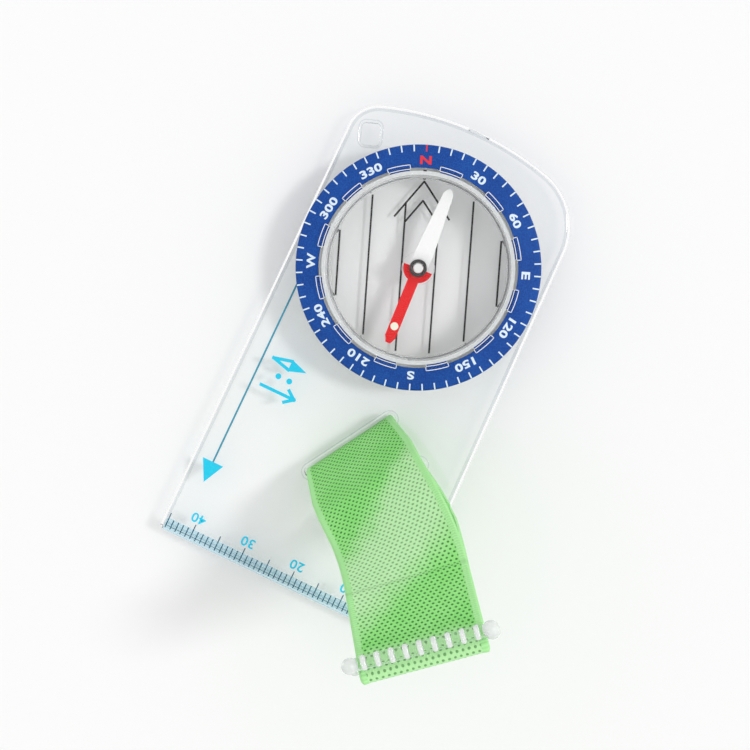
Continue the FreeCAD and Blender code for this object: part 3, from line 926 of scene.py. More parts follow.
def reach(node: str) -> tuple[Vector, Vector]:
    """Lowest and highest corners of a CAD node, in millimetres."""
    low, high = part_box(node)
    return low / MM, high / MM


def dress(node: str, finish: Finish) -> None:
    """Gives a CAD node its finish.

    Args:
        node: the node's name.
        finish: its finish.
    """
    for slot in bpy.data.objects[node].material_slots:
        slot.material = finish.made()
    LOG.info("%s: dressed in %s", node, finish.value.name)


# ---------------------------------------------------------------- baseplate
@dataclass
class PrintedPlate:
    """The clear plate with its ruler, travel arrow and needle sign."""

    ink: float = 0.03
    edge_round: float = 0.6
    edge_steps: int = 4
    hole_heights: tuple[float, ...] = (18.1, 0.0, -37.0)
    steep: float = 0.4
    brow: tuple[float, float] = (0.935, 0.995)
    ruler_marks: int = 46
    zero_from_left: float = 46.0
    mark_width: float = 0.19
    mark_length: float = 1.85
    long_mark_length: float = 2.9
    mark_start: float = 0.42
    figure_height: float = 1.8
    figure_weight: float = 0.02
    figure_stretch: float = 1.1
    figure_from_edge: float = 4.5
    wash_length: float = 45.6
    wash_width: float = 2.3
    wash_past_zero: float = 0.3
    arrow_from_left: float = 3.9
    arrow_line_width: float = 0.33
    arrow_top: float = 52.0
    arrow_shoulder: float = 15.2
    arrow_tip: float = 11.1
    arrow_width: float = 4.1
    sign_centre: tuple[float, float] = (9.1, 34.6)
    sign_pitch: float = 2.7
    sign_half: float = 3.3
    sign_rise: float = 1.15
    sign_stroke: float = 0.6
    corner: Vector = field(init=False)
    top: float = field(init=False)

    def __post_init__(self) -> None:
        """Takes the plate's corner and top face from the frame."""
        low, high = reach("baseplate")
        self.corner = low
        self.top = high.z

    def at(self, x: float, y: float) -> Matrix:
        """Place on the plate's top face, from the left edge and from the ruler edge."""
        return shift(self.corner.x + x, self.corner.y + y, self.top)

    def build(self) -> None:
        """Makes the plate's print and dresses the plate."""
        plate = Blank.from_node("polished_plate", "baseplate", self.hole_heights)
        low, high = plate.limits()
        plate.round_edges(self.edge_round, self.edge_steps, clamp=False)
        plate.bend(lambda point: Vector(min(max(point[axis], low[axis]), high[axis]) for axis in range(3)))
        plate.place(Finish.ACRYLIC, "plate", "baseplate", smooth=50)
        # Painted shade on the plate's edges: steep faces and the bevels' upper border take the grey-tinted
        # finishes.
        plate.accent(Finish.EDGE, lambda middle, normal: abs(normal.z) < self.steep)
        plate.accent(Finish.BROW, lambda middle, normal: self.brow[0] < normal.z < self.brow[1])
        dress("friction_washer", Finish.NYLON)
        self.ruler()
        self.travel_arrow()
        self.needle_sign()

    def mark(self, name: str, length: float) -> Blank:
        """One ruler mark, starting at the origin."""
        return Blank.sheet(name, self.mark_width, length).raise_all(self.ink).move(shift(0, length / 2))

    def ruler(self) -> None:
        """Millimetre marks with longer ones at each five, and figures at each ten."""
        short = self.mark("short_mark", self.mark_length)
        tall = self.mark("tall_mark", self.long_mark_length)
        marks = []
        figures = []
        for count in range(self.ruler_marks):
            place = self.at(self.zero_from_left - count, self.mark_start)
            pattern = tall if count % 5 == 0 else short
            marks.append(pattern.copy("mark", place))
            if count % 10 == 0:
                figure = Blank.lettering("figure", str(count), self.figure_height, self.ink,
                                         self.figure_weight, self.figure_stretch)
                middle = self.at(self.zero_from_left - count, self.figure_from_edge)
                figures.append(figure.move(middle @ turn_z(180)))
        short.discard()
        tall.discard()
        Blank.merged("ruler_marks", marks).place(Finish.RULER_INK, "plate")
        Blank.merged("ruler_figures", figures).place(Finish.PLATE_INK, "plate")
        wash = Blank.sheet("ruler_wash", self.wash_length, self.wash_width).raise_all(self.ink / 3)
        wash.move(self.at(self.zero_from_left - self.wash_length / 2 + self.wash_past_zero,
                          self.wash_width / 2))
        wash.place(Finish.RULER_WASH, "plate")

    def travel_arrow(self) -> None:
        """Line from under the dial to a solid head near the ruler."""
        length = self.arrow_top - self.arrow_shoulder
        line = Blank.sheet("travel_line", self.arrow_line_width, length).raise_all(self.ink)
        line.move(self.at(self.arrow_from_left, self.arrow_shoulder + length / 2))
        head_length = self.arrow_shoulder - self.arrow_tip
        head = Blank.sheet("travel_head", self.arrow_width, head_length).raise_all(self.ink)
        head.bend(lambda point: Vector((point.x * (0.5 + point.y / head_length), point.y, point.z)))
        head.modify("WELD", merge_threshold=0.001)
        head.move(self.at(self.arrow_from_left, self.arrow_tip + head_length / 2))
        line.place(Finish.ARROW_INK, "plate")
        head.place(Finish.PLATE_INK, "plate")

    def sign_bar(self, start: tuple[float, float], end: tuple[float, float], layer: int) -> Blank:
        """One straight stroke of the sign.

        Args:
            start: one end, from the sign's middle.
            end: the other end.
            layer: where it crosses other strokes, the one with the higher number lies on top.

        Returns:
            The stroke.
        """
        run = Vector((end[0] - start[0], end[1] - start[1]))
        bar = Blank.sheet("sign_bar", run.length + self.sign_stroke, self.sign_stroke)
        bar.raise_all(self.ink * (1 + layer / 4))
        middle = self.at(self.sign_centre[0] + (start[0] + end[0]) / 2,
                         self.sign_centre[1] + (start[1] + end[1]) / 2)
        return bar.move(middle @ turn_z(math.degrees(math.atan2(run.y, run.x))))

    def needle_sign(self) -> None:
        """Three rows: a half-filled needle, two dots, and an open arrow."""
        half, rise, pitch = self.sign_half, self.sign_rise, self.sign_pitch
        point = Blank.sheet("needle_sign", half, 2 * rise).raise_all(self.ink)
        point.bend(lambda place: Vector((place.x, place.y * (0.5 - place.x / half), place.z)))
        point.modify("WELD", merge_threshold=0.001)
        point.move(self.at(self.sign_centre[0] + half / 2, self.sign_centre[1] + pitch))
        strokes = []
        for side in (-1, 1):
            strokes.append(self.sign_bar((0, pitch + side * (rise - self.sign_stroke / 2)), (-half, pitch),
                                         2 + side))
            strokes.append(self.sign_bar((half, -pitch), (half - rise * 1.3, -pitch + side * rise),
                                         2 + side))
            dot = Blank.rod("dot", self.sign_stroke * 0.9, self.ink, 32)
            strokes.append(dot.move(self.at(self.sign_centre[0] + side * half / 3, self.sign_centre[1])))
        strokes.append(self.sign_bar((-half, -pitch), (half, -pitch), 2))
        point.join(strokes)
        point.place(Finish.PLATE_INK, "plate")


# ---------------------------------------------------------------- dial and capsule
@dataclass
class Dial:
    """The blue ring with its graduations, and the clear capsule that turns with it."""

    heading: float = 21.5
    ink: float = 0.03
    edge_drop: float = 0.6
    face_start: float = 17.85
    ticks: int = 60
    tick_width: float = 0.25
    tick_outer: float = 21.93
    tick_length: float = 1.2
    label_middle: float = 19.2
    label_height: float = 1.5
    letter_height: float = 1.55
    label_weight: float = 0.035
    label_stretch: float = 1.42
    wide_letter_stretch: float = 1.2
    line_width: float = 0.34
    line_spacing: float = 6.15
    inner_line_foot: float = -15.3
    line_reaches: tuple[float, float] = (12.7, 5.9)
    outer_line: float = 14.75
    arrow_tips: tuple[float, float] = (15.8, 12.3)
    arrow_slope: float = 1.33
    arrow_half_widths: tuple[float, float] = (5.0, 3.0)
    rim_band: tuple[float, float] = (16.55, 17.25)
    index_radius: float = 17.3
    index_size: tuple[float, float] = (0.6, 0.26)
    lid_edge: float = 0.12
    skirt_top: float = 7.95
    lugs: int = 12
    lug_span: float = 13.4
    lug_from: float = 17.5
    lug_to: float = 18.4
    lug_top: float = 8.9
    lug_rim: float = 0.13
    floor: float = 1.4
    radius: float = field(init=False)
    top: float = field(init=False)
    lid_top: float = field(init=False)

    def __post_init__(self) -> None:
        """Takes the ring's radius and top, and the lid's top, from the frame."""
        _, high = reach("dial_ring")
        self.radius = high.x
        self.top = high.z
        self.lid_top = reach("capsule_lid")[1].z

    def build(self) -> None:
        """Dresses the dial's parts and prints them."""
        dress("dial_ring", Finish.BLUE)
        lid = Blank.from_node("polished_lid", "capsule_lid").round_edges(self.lid_edge, 2)
        lid.place(Finish.LID, "dial", "capsule_lid")
        # Painted light: the skirt is milky white so that the zone which the blue ring shades stays light.
        lid.accent(Finish.FROST, lambda middle, normal: middle.z < self.skirt_top)
        self.lug_edges()
        self.rim()
        self.index()
        dress("capsule_body", Finish.CAPSULE)
        dress("capsule_seal", Finish.CAPSULE)
        dress("fill_plug", Finish.PLUG)
        dress("snap_ring", Finish.SPRING)
        dress("pivot_pin", Finish.PIVOT)
        self.graduations()
        self.labels()
        self.orienting_lines()

    def on_face(self, point: Vector) -> Vector:
        """Lifts a flat point onto the ring's sloping face.

        Args:
            point: the flat point.

        Returns:
            The lifted point.
        """
        radius = math.hypot(point.x, point.y)
        share = (radius - self.face_start) / (self.radius - self.face_start)
        return Vector((point.x, point.y, point.z + self.top - share * self.edge_drop))

    def bearing(self, degrees: float) -> Matrix:
        """Turn that brings +Y to a bearing on the dial, counted clockwise from its north."""
        return turn_z(self.heading - degrees)

    def graduations(self) -> None:
        """A tick each six degrees, red at north."""
        middle = self.tick_outer - self.tick_length / 2
        tick = Blank.sheet("tick", self.tick_width, self.tick_length, 1, 3).raise_all(self.ink)
        tick.move(shift(0, middle))
        step = 360 / self.ticks
        ticks = [tick.copy("tick", self.bearing(index * step)) for index in range(1, self.ticks)]
        Blank.merged("dial_ticks", ticks).bend(self.on_face).place(Finish.DIAL_INK, "dial")
        north = tick.move(self.bearing(0)).bend(self.on_face)
        north.item.name = "north_tick"
        north.place(Finish.NORTH_INK, "dial")

    def labels(self) -> None:
        """Letters at the quarters and figures at each thirty degrees between them."""
        quarters = {0: "N", 90: "E", 180: "S", 270: "W"}
        pieces = []
        for degrees in range(0, 360, 30):
            text = quarters.get(degrees, str(degrees))
            height = self.letter_height if degrees in quarters else self.label_height
            stretch = self.wide_letter_stretch if text == "W" else self.label_stretch
            label = Blank.lettering("label", text, height, self.ink, self.label_weight, stretch)
            label.move(self.bearing(degrees) @ shift(0, self.label_middle)).bend(self.on_face)
            if degrees == 0:
                label.item.name = "north_letter"
                label.place(Finish.NORTH_INK, "dial")
            else:
                pieces.append(label)
        Blank.merged("dial_labels", pieces).place(Finish.DIAL_INK, "dial")

    def lug_edges(self) -> None:
        """Painted highlights: thin pale strips round the lid's lugs, where their edges catch the light."""
        half = math.radians(self.lug_span / 2)
        highlight_strips = []
        for radius in (self.lug_from, self.lug_to - self.lug_rim):
            rim = Blank.sheet("rim", 2 * half, self.lug_rim, 10, 1).raise_all(self.ink)
            middle = radius + self.lug_rim / 2
            highlight_strips.append(rim.bend(lambda point, middle=middle: Vector((
                (middle + point.y) * math.sin(point.x), (middle + point.y) * math.cos(point.x), point.z))))
        for side in (-1, 1):
            end = Blank.sheet("rim", self.lug_rim, self.lug_to - self.lug_from).raise_all(self.ink)
            end.move(shift(-side * self.lug_rim / 2, (self.lug_from + self.lug_to) / 2))
            highlight_strips.append(end.move(turn_z(-side * self.lug_span / 2)))
        outline = highlight_strips[0].join(highlight_strips[1:]).move(shift(0, 0, self.lug_top))
        step = 360 / self.lugs
        places = [self.bearing((count + 0.5) * step) for count in range(self.lugs)]
        edges = [outline.copy("lug_edges", place) for place in places]
        outline.discard()
        edges[0].join(edges[1:]).place(Finish.LUG_EDGE, "dial")

    def rim(self) -> None:
        """Pale band on the lid where it sits on the capsule's wall: painted light that lightens the zone
        which the blue ring shades.
        """
        inner, outer = self.rim_band
        low, high = self.lid_top, self.lid_top + self.ink / 3
        corners = [(inner, low), (outer, low), (outer, high), (inner, high), (inner, low)]
        Blank.turned("rim_band", corners, 120).place(Finish.RIM, "dial")

    def index(self) -> None:
        """Short dash on the lid at the dial's north."""
        dash = Blank.sheet("index_dashes", *self.index_size).raise_all(self.ink)
        dash.move(self.bearing(0) @ shift(0, self.index_radius, self.lid_top))
        dash.place(Finish.LINE_INK, "dial")

    def stroke(self, start: tuple[float, float], end: tuple[float, float]) -> Blank:
        """Printed line on the capsule's floor.

        Args:
            start: one end, with +Y to the dial's north.
            end: the other end.

        Returns:
            The line.
        """
        run = Vector((end[0] - start[0], end[1] - start[1]))
        turn = math.degrees(math.atan2(-run.x, run.y))
        line = Blank.sheet("stroke", self.line_width, run.length + self.line_width / 2)
        line.raise_all(self.ink)
        middle = shift((start[0] + end[0]) / 2, (start[1] + end[1]) / 2, self.floor + 0.01)
        return line.move(self.bearing(0) @ middle @ turn_z(turn))

    def orienting_lines(self) -> None:
        """Six lines and the double orienting arrow."""
        outer_tip, inner_tip = self.arrow_tips
        outer_half, inner_half = self.arrow_half_widths
        strokes = []
        meets = outer_tip - self.arrow_slope * self.line_spacing / 2
        middle_reach, outer_reach = self.line_reaches
        lines = ((self.line_spacing / 2, self.inner_line_foot, meets),
                 (self.line_spacing * 1.5, -middle_reach, middle_reach),
                 (self.outer_line, -outer_reach, outer_reach))
        for x, low, high in lines:
            for side in (-1, 1):
                strokes.append(self.stroke((side * x, low), (side * x, high)))
        for tip, half in ((outer_tip, outer_half), (inner_tip, inner_half)):
            for side in (-1, 1):
                foot = tip - self.arrow_slope * half
                strokes.append(self.stroke((0, tip), (side * half, foot)))
        Blank.merged("orienting_lines", strokes).place(Finish.LINE_INK, "dial")


# ---------------------------------------------------------------- needle
@dataclass
class Needle:
    """The swinging needle on its pivot."""

    edge: float = 0.1

    def build(self) -> None:
        """Rounds and dresses the needle's parts."""
        for node, finish in (("needle_north_half", Finish.RED), ("needle_south_half", Finish.ENAMEL),
                             ("needle_hub_disc", Finish.HUB), ("needle_hub_ring", Finish.BLACK)):
            piece = Blank.from_node(node.replace("needle", "rounded"), node)
            piece.round_edges(self.edge, 2)
            piece.place(finish, "needle", node)
        dress("needle_magnet", Finish.MAGNET)
        dress("needle_jewel", Finish.JEWEL)
        dress("needle_lume_dot", Finish.LUME)


# ---------------------------------------------------------------- thumb strap
Station = tuple[float, float, float]


@dataclass
class StrapRun:
    """The way that the strap's webbing goes, from its seam through both slots and back."""

    slot: tuple[float, float] = (2.7, -34.5)
    plate_top: float = 4.1
    base_heading: float = -31.0
    far_heading: float = -49.0
    twist_start: float = 11.5
    twist_end: float = 22.0
    rise: float = 52.0
    exit_rise: float = 0.9
    slot_pitch: float = 10.0
    reach: float = 52.7
    crown: tuple[float, float] = (14.0, -2.2)
    belly: tuple[float, float] = (18.0, 8.5)
    ply_join: float = 35.5
    thickness: float = 1.2
    ply_gap: float = 0.3
    seam_gap: float = 0.02
    seam: tuple[float, float] = (3.5, 9.8)
    fold_radius: float = 1.3
    slot_radius: float = 4.0
    ply_radius: float = 6.0
    step: float = 0.33

    def turned_by(self, distance: float) -> float:
        """Degrees that the run has turned at a plan distance."""
        share = (distance - self.twist_start) / (self.twist_end - self.twist_start)
        return min(max(share, 0.0), 1.0) * (self.far_heading - self.base_heading)

    def heading(self, degrees: float) -> Vector:
        """Level direction at an angle from +X."""
        return Vector((math.cos(math.radians(degrees)), math.sin(math.radians(degrees)), 0))

    def place(self, distance: float, across: float, height: float) -> Vector:
        """Point of the bent strap.

        Args:
            distance: how far along the run in plan.
            across: how far from its middle line.
            height: level over the resting plane.

        Returns:
            The point.
        """
        turn = math.radians(self.turned_by(distance))
        point = Vector((*self.slot, height))
        point += self.heading(self.base_heading) * min(distance, self.twist_start)
        if distance > self.twist_start:
            whole = math.radians(self.far_heading - self.base_heading)
            radius = (self.twist_end - self.twist_start) / whole
            chord = self.heading(self.base_heading + math.degrees(turn) / 2)
            point += chord * (2 * radius * math.sin(turn / 2))
        point += self.heading(self.far_heading) * max(distance - self.twist_end, 0)
        return point + self.heading(self.base_heading + math.degrees(turn) + 90) * across

    def on_rise(self, along: float, below: float) -> tuple[float, float]:
        """Place near the rise line.

        Args:
            along: how far along the line.
            below: how deep below it.

        Returns:
            The place's distance along the run and its height.
        """
        rise = math.radians(self.rise)
        foot = self.plate_top + self.exit_rise
        return (along * math.cos(rise) + below * math.sin(rise),
                foot + along * math.sin(rise) - below * math.cos(rise))

    def on_lower(self, along: float, below: float) -> tuple[float, float]:
        """Place near the straight that leaves the second slot.

        Args:
            along: how far along the straight.
            below: how deep below it.

        Returns:
            The place's distance along the run and its height.
        """
        foot = (self.slot_pitch, self.plate_top + self.exit_rise)
        belly = self.on_rise(*self.belly)
        slope = math.atan2(belly[1] - foot[1], belly[0] - foot[0])
        return (foot[0] + along * math.cos(slope) + below * math.sin(slope),
                foot[1] + along * math.sin(slope) - below * math.cos(slope))

    def corners(self) -> list[tuple[float, float, float]]:
        """Corners of the middle line.

        Returns:
            Each corner's distance and height, and the radius that rounds it.
        """
        under = self.thickness / 2
        exit_height = self.plate_top + self.exit_rise
        ply = self.thickness + self.ply_gap
        belly = self.on_rise(*self.belly)
        start = self.on_lower(0, 0)
        length = math.hypot(belly[0] - start[0], belly[1] - start[1])
        lap = self.thickness + self.seam_gap
        return [(*self.on_lower(self.seam[1], 0), 0), (self.slot_pitch, exit_height, self.slot_radius),
                (self.slot_pitch, under, self.fold_radius), (0, under, self.fold_radius),
                (0, exit_height, self.slot_radius), (*self.on_rise(*self.crown), self.ply_radius),
                (*self.on_rise(self.ply_join, 0), self.ply_radius),
                (*self.on_rise(self.reach, 0), ply / 2), (*self.on_rise(self.reach, ply), ply / 2),
                (*self.on_rise(self.ply_join, ply), self.ply_radius),
                (*self.on_lower(length, lap), self.ply_radius), (*self.on_lower(self.seam[0], lap), 0)]

    def stations(self) -> list[Station]:
        """Close-set stations along the middle line.

        Returns:
            Each station's distance, height and slope.
        """
        corners = self.corners()
        result = []
        here = corners[0][:2]
        for index in range(1, len(corners)):
            x, z, radius = corners[index]
            slope = math.atan2(z - here[1], x - here[0])
            turn = 0.0
            if index < len(corners) - 1:
                after = math.atan2(corners[index + 1][1] - z, corners[index + 1][0] - x)
                turn = math.atan2(math.sin(after - slope), math.cos(after - slope))
            inset = abs(radius * math.tan(turn / 2))
            end = (x - inset * math.cos(slope), z - inset * math.sin(slope))
            pieces = math.ceil(math.hypot(end[0] - here[0], end[1] - here[1]) / self.step - 0.001)
            for piece in range(pieces):
                share = piece / pieces
                result.append((here[0] + (end[0] - here[0]) * share,
                               here[1] + (end[1] - here[1]) * share, slope))
            if not radius:
                result.append((*end, slope))
                break
            side = math.copysign(radius, turn)
            centre = (end[0] - side * math.sin(slope), end[1] + side * math.cos(slope))
            pieces = max(4, math.ceil(abs(turn * radius) / self.step))
            for piece in range(pieces):
                now = slope + turn * piece / pieces
                result.append((centre[0] + side * math.sin(now), centre[1] - side * math.cos(now), now))
            here = (centre[0] + side * math.sin(slope + turn), centre[1] - side * math.cos(slope + turn))
        return result


@dataclass
class ThumbStrap:
    """The knitted elastic, sewn into a loop with a lap near the second slot."""

    run: StrapRun = field(default_factory=StrapRun)
    width: float = 21.0
    slot_width: float = 18.6
    spread_height: float = 9.0
    columns: int = 66
    body_thickness: float = 1.0
    bead_width: float = 1.25
    edge_round: float = 0.35
    stitch_rows: int = 3
    stitch_half_length: float = 7.5
    stitches: int = 7
    stitch_radius: float = 0.19
    stitch_share: float = 0.92
    stitch_dip: float = 0.12

    def build(self) -> None:
        """Makes the webbing and its seam."""
        self.webbing()
        self.seam()

    def half_thickness(self, across: float) -> float:
        """Half the webbing's thickness.

        Args:
            across: distance from the middle line.

        Returns:
            The half thickness there.
        """
        inward = self.width / 2 - abs(across)
        bead = self.run.thickness / 2
        if inward < self.edge_round:
            return bead * math.sqrt(max(1 - (1 - inward / self.edge_round) ** 2, 0.02))
        if inward < self.bead_width:
            share = (inward - self.edge_round) / (self.bead_width - self.edge_round)
            return bead + (self.body_thickness / 2 - bead) * share ** 3
        return self.body_thickness / 2

    def webbing(self) -> None:
        """Flat sheet with its own map in millimetres, given thickness and led along the run."""
        stations = self.run.stations()
        steps = [0.0]
        for here, there in zip(stations, stations[1:]):
            steps.append(steps[-1] + math.hypot(there[0] - here[0], there[1] - here[1]))
        length = steps[-1]
        strap = Blank.sheet("thumb_webbing", self.width, length, self.columns, len(stations) - 1)
        mesh = strap.item.data
        grid = mesh.uv_layers.active
        grid.name = "webbing"
        for loop in mesh.loops:
            grid.data[loop.index].uv = mesh.vertices[loop.vertex_index].co.xy
        strap.modify("SOLIDIFY", thickness=2.0, offset=0.0)
        last = len(stations) - 1

        def follow(point: Vector) -> Vector:
            """Leads a point of the flat sheet along the run.

            Args:
                point: the flat point, its Z saying which face it is on.

            Returns:
                The point on the strap.
            """
            index = round((point.y / length + 0.5) * last)
            distance, height, slope = stations[index]
            offset = math.copysign(self.half_thickness(point.x), point.z)
            level = height + offset * math.cos(slope)
            spread = min(max((height - self.run.plate_top) / self.spread_height, 0), 1)
            narrow = (self.slot_width + (self.width - self.slot_width) * spread) / self.width
            return self.run.place(distance - offset * math.sin(slope), point.x * narrow, level)

        strap.bend(follow)
        strap.place(Finish.WEBBING, "plate", "thumb_strap", smooth=60)
        LOG.info("webbing: %.1f mm long, %.1f mm wide", length, self.width)

    def stitch(self) -> Blank:
        """One stitch along X, its ends dipping into the cloth.

        Returns:
            The stitch.
        """
        half = self.stitch_half_length / self.stitches * self.stitch_share
        stitch = Blank.rod("stitch", self.stitch_radius, 2 * half, 8)
        stitch.move(shift(0, 0, -half))
        stitch.modify("SUBSURF", levels=1, render_levels=1, subdivision_type="SIMPLE")
        return stitch.bend(lambda point: Vector((
            point.z, point.y, point.x - self.stitch_dip * (point.z / half) ** 2)))

    def seam(self) -> None:
        """Rows of stitches on both faces of the lap."""
        pattern = self.stitch()
        start, end = self.run.seam
        spacing = (end - start) / (self.stitch_rows + 1)
        depth_out = self.run.thickness * 1.5 + self.run.seam_gap
        side = self.run.heading(self.run.base_heading + 90)
        rows = []
        for row in range(self.stitch_rows):
            for depth, way in ((-self.run.thickness / 2, 1), (depth_out, -1)):
                distance, height = self.run.on_lower(start + spacing * (row + 1), depth)
                ahead, above = self.run.on_lower(start + spacing * (row + 1), depth - 1)
                normal = self.run.place(ahead, 0, above) - self.run.place(distance, 0, height)
                normal = normal.normalized() * way
                for index in range(self.stitches):
                    across = (index + 0.5 - self.stitches / 2) * 2 * self.stitch_half_length / self.stitches
                    frame = Matrix((side, normal.cross(side), normal)).transposed().to_4x4()
                    frame.translation = self.run.place(distance, across, height)
                    rows.append(pattern.copy("stitch", frame))
        pattern.discard()
        Blank.merged("seam_stitches", rows).place(Finish.THREAD, "plate", "strap_stitching")


@dataclass
class Slider:
    """The clear ribbed slider that grips both plies near the far fold, leaning back."""

    run: StrapRun = field(default_factory=StrapRun)
    from_fold: float = 1.0
    lean: float = 4.3
    depths: tuple[float, float] = (-2.25, 3.75)
    rod_radius: float = 1.05
    rib_radius: float = 1.25
    rib_width: float = 0.85
    rib_pitch: float = 2.3
    ribs: int = 9
    ball_radius: float = 1.35
    post_radius: float = 0.65
    post_across: float = 11.45
    rib_sink: float = 0.08
    rib_bluntness: float = 0.6
    post_inset: float = 0.3

    def rod_profile(self) -> list[tuple[float, float]]:
        """Half outline of a plain bar that ends inside its balls."""
        end = self.post_across
        return [(0.0, -end), (self.rod_radius, -end), (self.rod_radius, end), (0.0, end)]

    def ball_profile(self) -> list[tuple[float, float]]:
        """Half outline of an end ball."""
        angles = [math.pi * index / 16 for index in range(17)]
        return [(self.ball_radius * math.sin(angle), -self.ball_radius * math.cos(angle)) for angle in angles]

    def rib_profile(self) -> list[tuple[float, float]]:
        """Closed outline of one rib's cross-section.

        Returns:
            Its corners as radius and height.
        """
        inner = self.rod_radius - self.rib_sink
        points = []
        for index in range(9):
            angle = math.pi * index / 8
            points.append((inner + (self.rib_radius - inner) * math.sin(angle) ** self.rib_bluntness,
                           -self.rib_width / 2 * math.cos(angle)))
        return points + points[:1]

    def set_on_strap(self, bar: Blank, depth: float, back: float) -> Blank:
        """Puts a bar made along Z, with +X downwards and +Y back along the strap, by the rise line.

        Args:
            bar: the bar.
            depth: how far below the rise line.
            back: how far behind the upper bar.

        Returns:
            The bar.
        """
        rise = math.radians(self.run.rise)
        side = self.run.heading(self.run.far_heading + 90)
        forward = self.run.heading(self.run.far_heading)
        down = forward * math.sin(rise) - Vector((0, 0, math.cos(rise)))
        distance, height = self.run.on_rise(self.run.reach - self.from_fold - back, depth)
        frame = Matrix((down, side.cross(down), side)).transposed().to_4x4()
        frame.translation = self.run.place(distance, 0, height)
        return bar.move(frame)

    def rib_set(self, name: str) -> Blank:
        """Ribs and end balls of one bar, along Z.

        Args:
            name: the set's name.

        Returns:
            The joined set.
        """
        rib = Blank.turned("rib", self.rib_profile(), 32)
        places = [(count - (self.ribs - 1) / 2) * self.rib_pitch for count in range(self.ribs)]
        ribs = [rib.copy(name, shift(0, 0, place)) for place in places]
        ball = Blank.turned("ball", self.ball_profile(), 32)
        ribs += [ball.copy(name, shift(0, 0, end * self.post_across)) for end in (-1, 1)]
        rib.discard()
        ball.discard()
        return ribs[0].join(ribs[1:])

    def posts(self) -> list[Blank]:
        """Posts from the lower bar's ends up to the upper bar.

        Returns:
            The two posts.
        """
        top, bottom = self.depths
        gap = bottom - top
        inset = self.post_inset * self.ball_radius
        turn = turn_z(math.degrees(math.atan2(self.lean, gap)))
        posts = []
        for end in (-1, 1):
            post = Blank.rod("post", self.post_radius, math.hypot(gap, self.lean) - 2 * inset, 24)
            post.bend(lambda point: Vector((-point.z - inset, point.y, point.x)))
            posts.append(post.move(shift(0, 0, end * self.post_across) @ turn))
        return posts

    def build(self) -> None:
        """Makes both bars with their ribs, and the posts on the lower one."""
        top, bottom = self.depths
        upper = Blank.turned("slider_upper", self.rod_profile(), 32)
        lower = upper.copy("slider_lower", Matrix.Identity(4)).join(self.posts())
        self.set_on_strap(upper, top, 0).place(Finish.SLIDER, "slider", "slider_top_bar", smooth=50)
        self.set_on_strap(lower, bottom, self.lean).place(Finish.SLIDER, "slider", "slider_bottom_bar",
                                                          smooth=50)
        for name, depth, back in (("upper_ribs", top, 0), ("lower_ribs", bottom, self.lean)):
            self.set_on_strap(self.rib_set(name), depth, back).place(Finish.RIB, "slider", smooth=50)


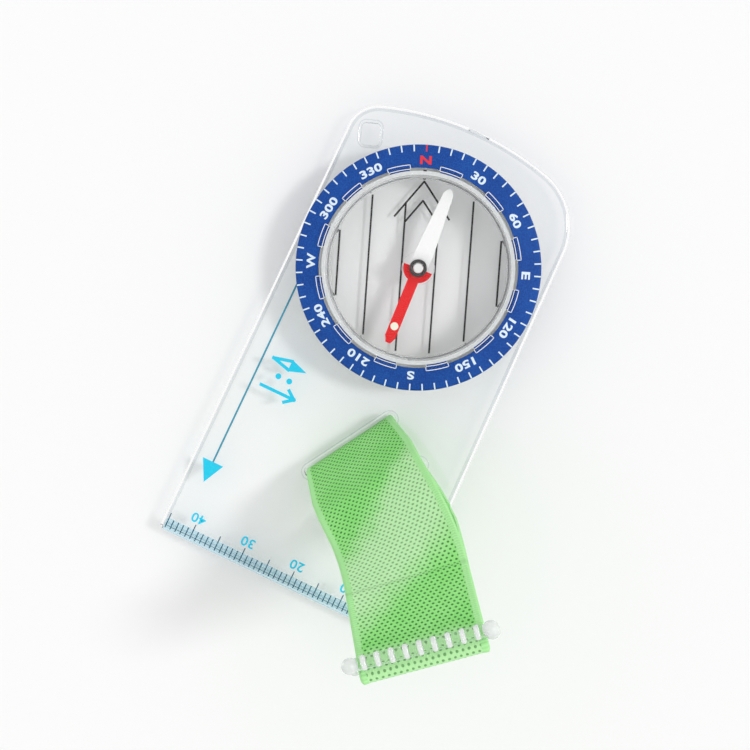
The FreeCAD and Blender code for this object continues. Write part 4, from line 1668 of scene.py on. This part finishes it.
# ---------------------------------------------------------------- studio
@dataclass
class Studio:
    """Pale floor, one soft lamp, an even surround and the camera."""

    floor_size: float = 3.0
    floor_colour: Colour = (0.955, 0.955, 0.955)
    side_light: float = 0.84
    lamp_energy: float = 0.8
    lamp_spread: float = 11.0
    lamp_heading: float = 30.5
    lamp_height: float = 47.0
    eye: tuple[float, float, float] = (0.0, 0.0, 0.29)
    target: tuple[float, float, float] = (0.00129, -0.02087, 0.0041)
    up_heading: float = 115.5
    lens: float = 75.6
    sensor: float = 36.0
    near: float = 0.01

    def build(self) -> None:
        """Makes the floor, the lights and the camera."""
        self.floor()
        self.lights()
        self.camera()

    def floor(self) -> None:
        """Level pale floor at the resting plane."""
        Blank.clear_bench()
        bpy.ops.mesh.primitive_plane_add(size=self.floor_size)
        floor = bpy.context.object
        floor.name = "floor"
        sheet = Sheet("pale_floor")
        cloud = sheet.noise(3.0, 2.0)
        low = tuple(part * 0.99 for part in self.floor_colour)
        shade = sheet.blend(cloud, self.floor_colour, low)
        floor.data.materials.append(sheet.finish(sheet.principled(
            {"Base Color": shade, "Roughness": 0.85, "Specular IOR Level": 0.2})))

    def lights(self) -> None:
        """Even light from all sides and one soft sun lamp."""
        world = bpy.data.worlds.new("surround")
        bpy.context.scene.world = world
        world.use_nodes = True
        nodes, links = world.node_tree.nodes, world.node_tree.links
        back = nodes["Background"]
        back.inputs["Strength"].default_value = self.side_light
        white = nodes.new("ShaderNodeBackground")
        choice = nodes.new("ShaderNodeMixShader")
        path = nodes.new("ShaderNodeLightPath").outputs
        seen = path["Is Camera Ray"]
        for ray in ("Is Glossy Ray", "Is Transmission Ray"):
            either = nodes.new("ShaderNodeMath")
            either.operation = "MAXIMUM"
            links.new(seen, either.inputs[0])
            links.new(path[ray], either.inputs[1])
            seen = either.outputs[0]
        for socket, source in zip(choice.inputs, (seen, back.outputs[0], white.outputs[0])):
            links.new(source, socket)
        for surround in (white, back):
            surround.inputs["Color"].default_value = (1.0, 1.0, 1.0, 1.0)
        links.new(choice.outputs[0], nodes["World Output"].inputs["Surface"])
        lamp = bpy.data.lights.new("soft_lamp", "SUN")
        lamp.energy = self.lamp_energy
        lamp.angle = math.radians(self.lamp_spread)
        item = bpy.data.objects.new("soft_lamp", lamp)
        bpy.context.scene.collection.objects.link(item)
        heading = math.radians(self.lamp_heading)
        height = math.radians(self.lamp_height)
        towards = Vector((math.cos(heading) * math.cos(height), math.sin(heading) * math.cos(height),
                          math.sin(height)))
        item.rotation_euler = towards.to_track_quat("Z", "Y").to_euler()

    def camera(self) -> None:
        """Camera from over the dial, turned as the compass is held."""
        data = bpy.data.cameras.new("camera")
        data.lens = self.lens
        data.sensor_width = self.sensor
        data.clip_start = self.near
        item = bpy.data.objects.new("camera", data)
        bpy.context.scene.collection.objects.link(item)
        bpy.context.scene.camera = item
        ahead = (Vector(self.target) - Vector(self.eye)).normalized()
        turn = math.radians(self.up_heading)
        right = ahead.cross(Vector((math.cos(turn), math.sin(turn), 0))).normalized()
        frame = Matrix((right, right.cross(ahead), -ahead)).transposed().to_4x4()
        frame.translation = Vector(self.eye)
        item.matrix_world = frame


def main() -> None:
    """Builds the compass round its frame."""
    logging.basicConfig(level=logging.INFO, format="%(name)s: %(message)s")
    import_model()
    bpy.context.scene.view_settings.view_transform = "Standard"
    Studio().build()
    for part in (PrintedPlate(), Dial(), Needle(), ThumbStrap(), Slider()):
        LOG.info("building %s", type(part).__name__)
        part.build()


if __name__ == "__main__":
    main()
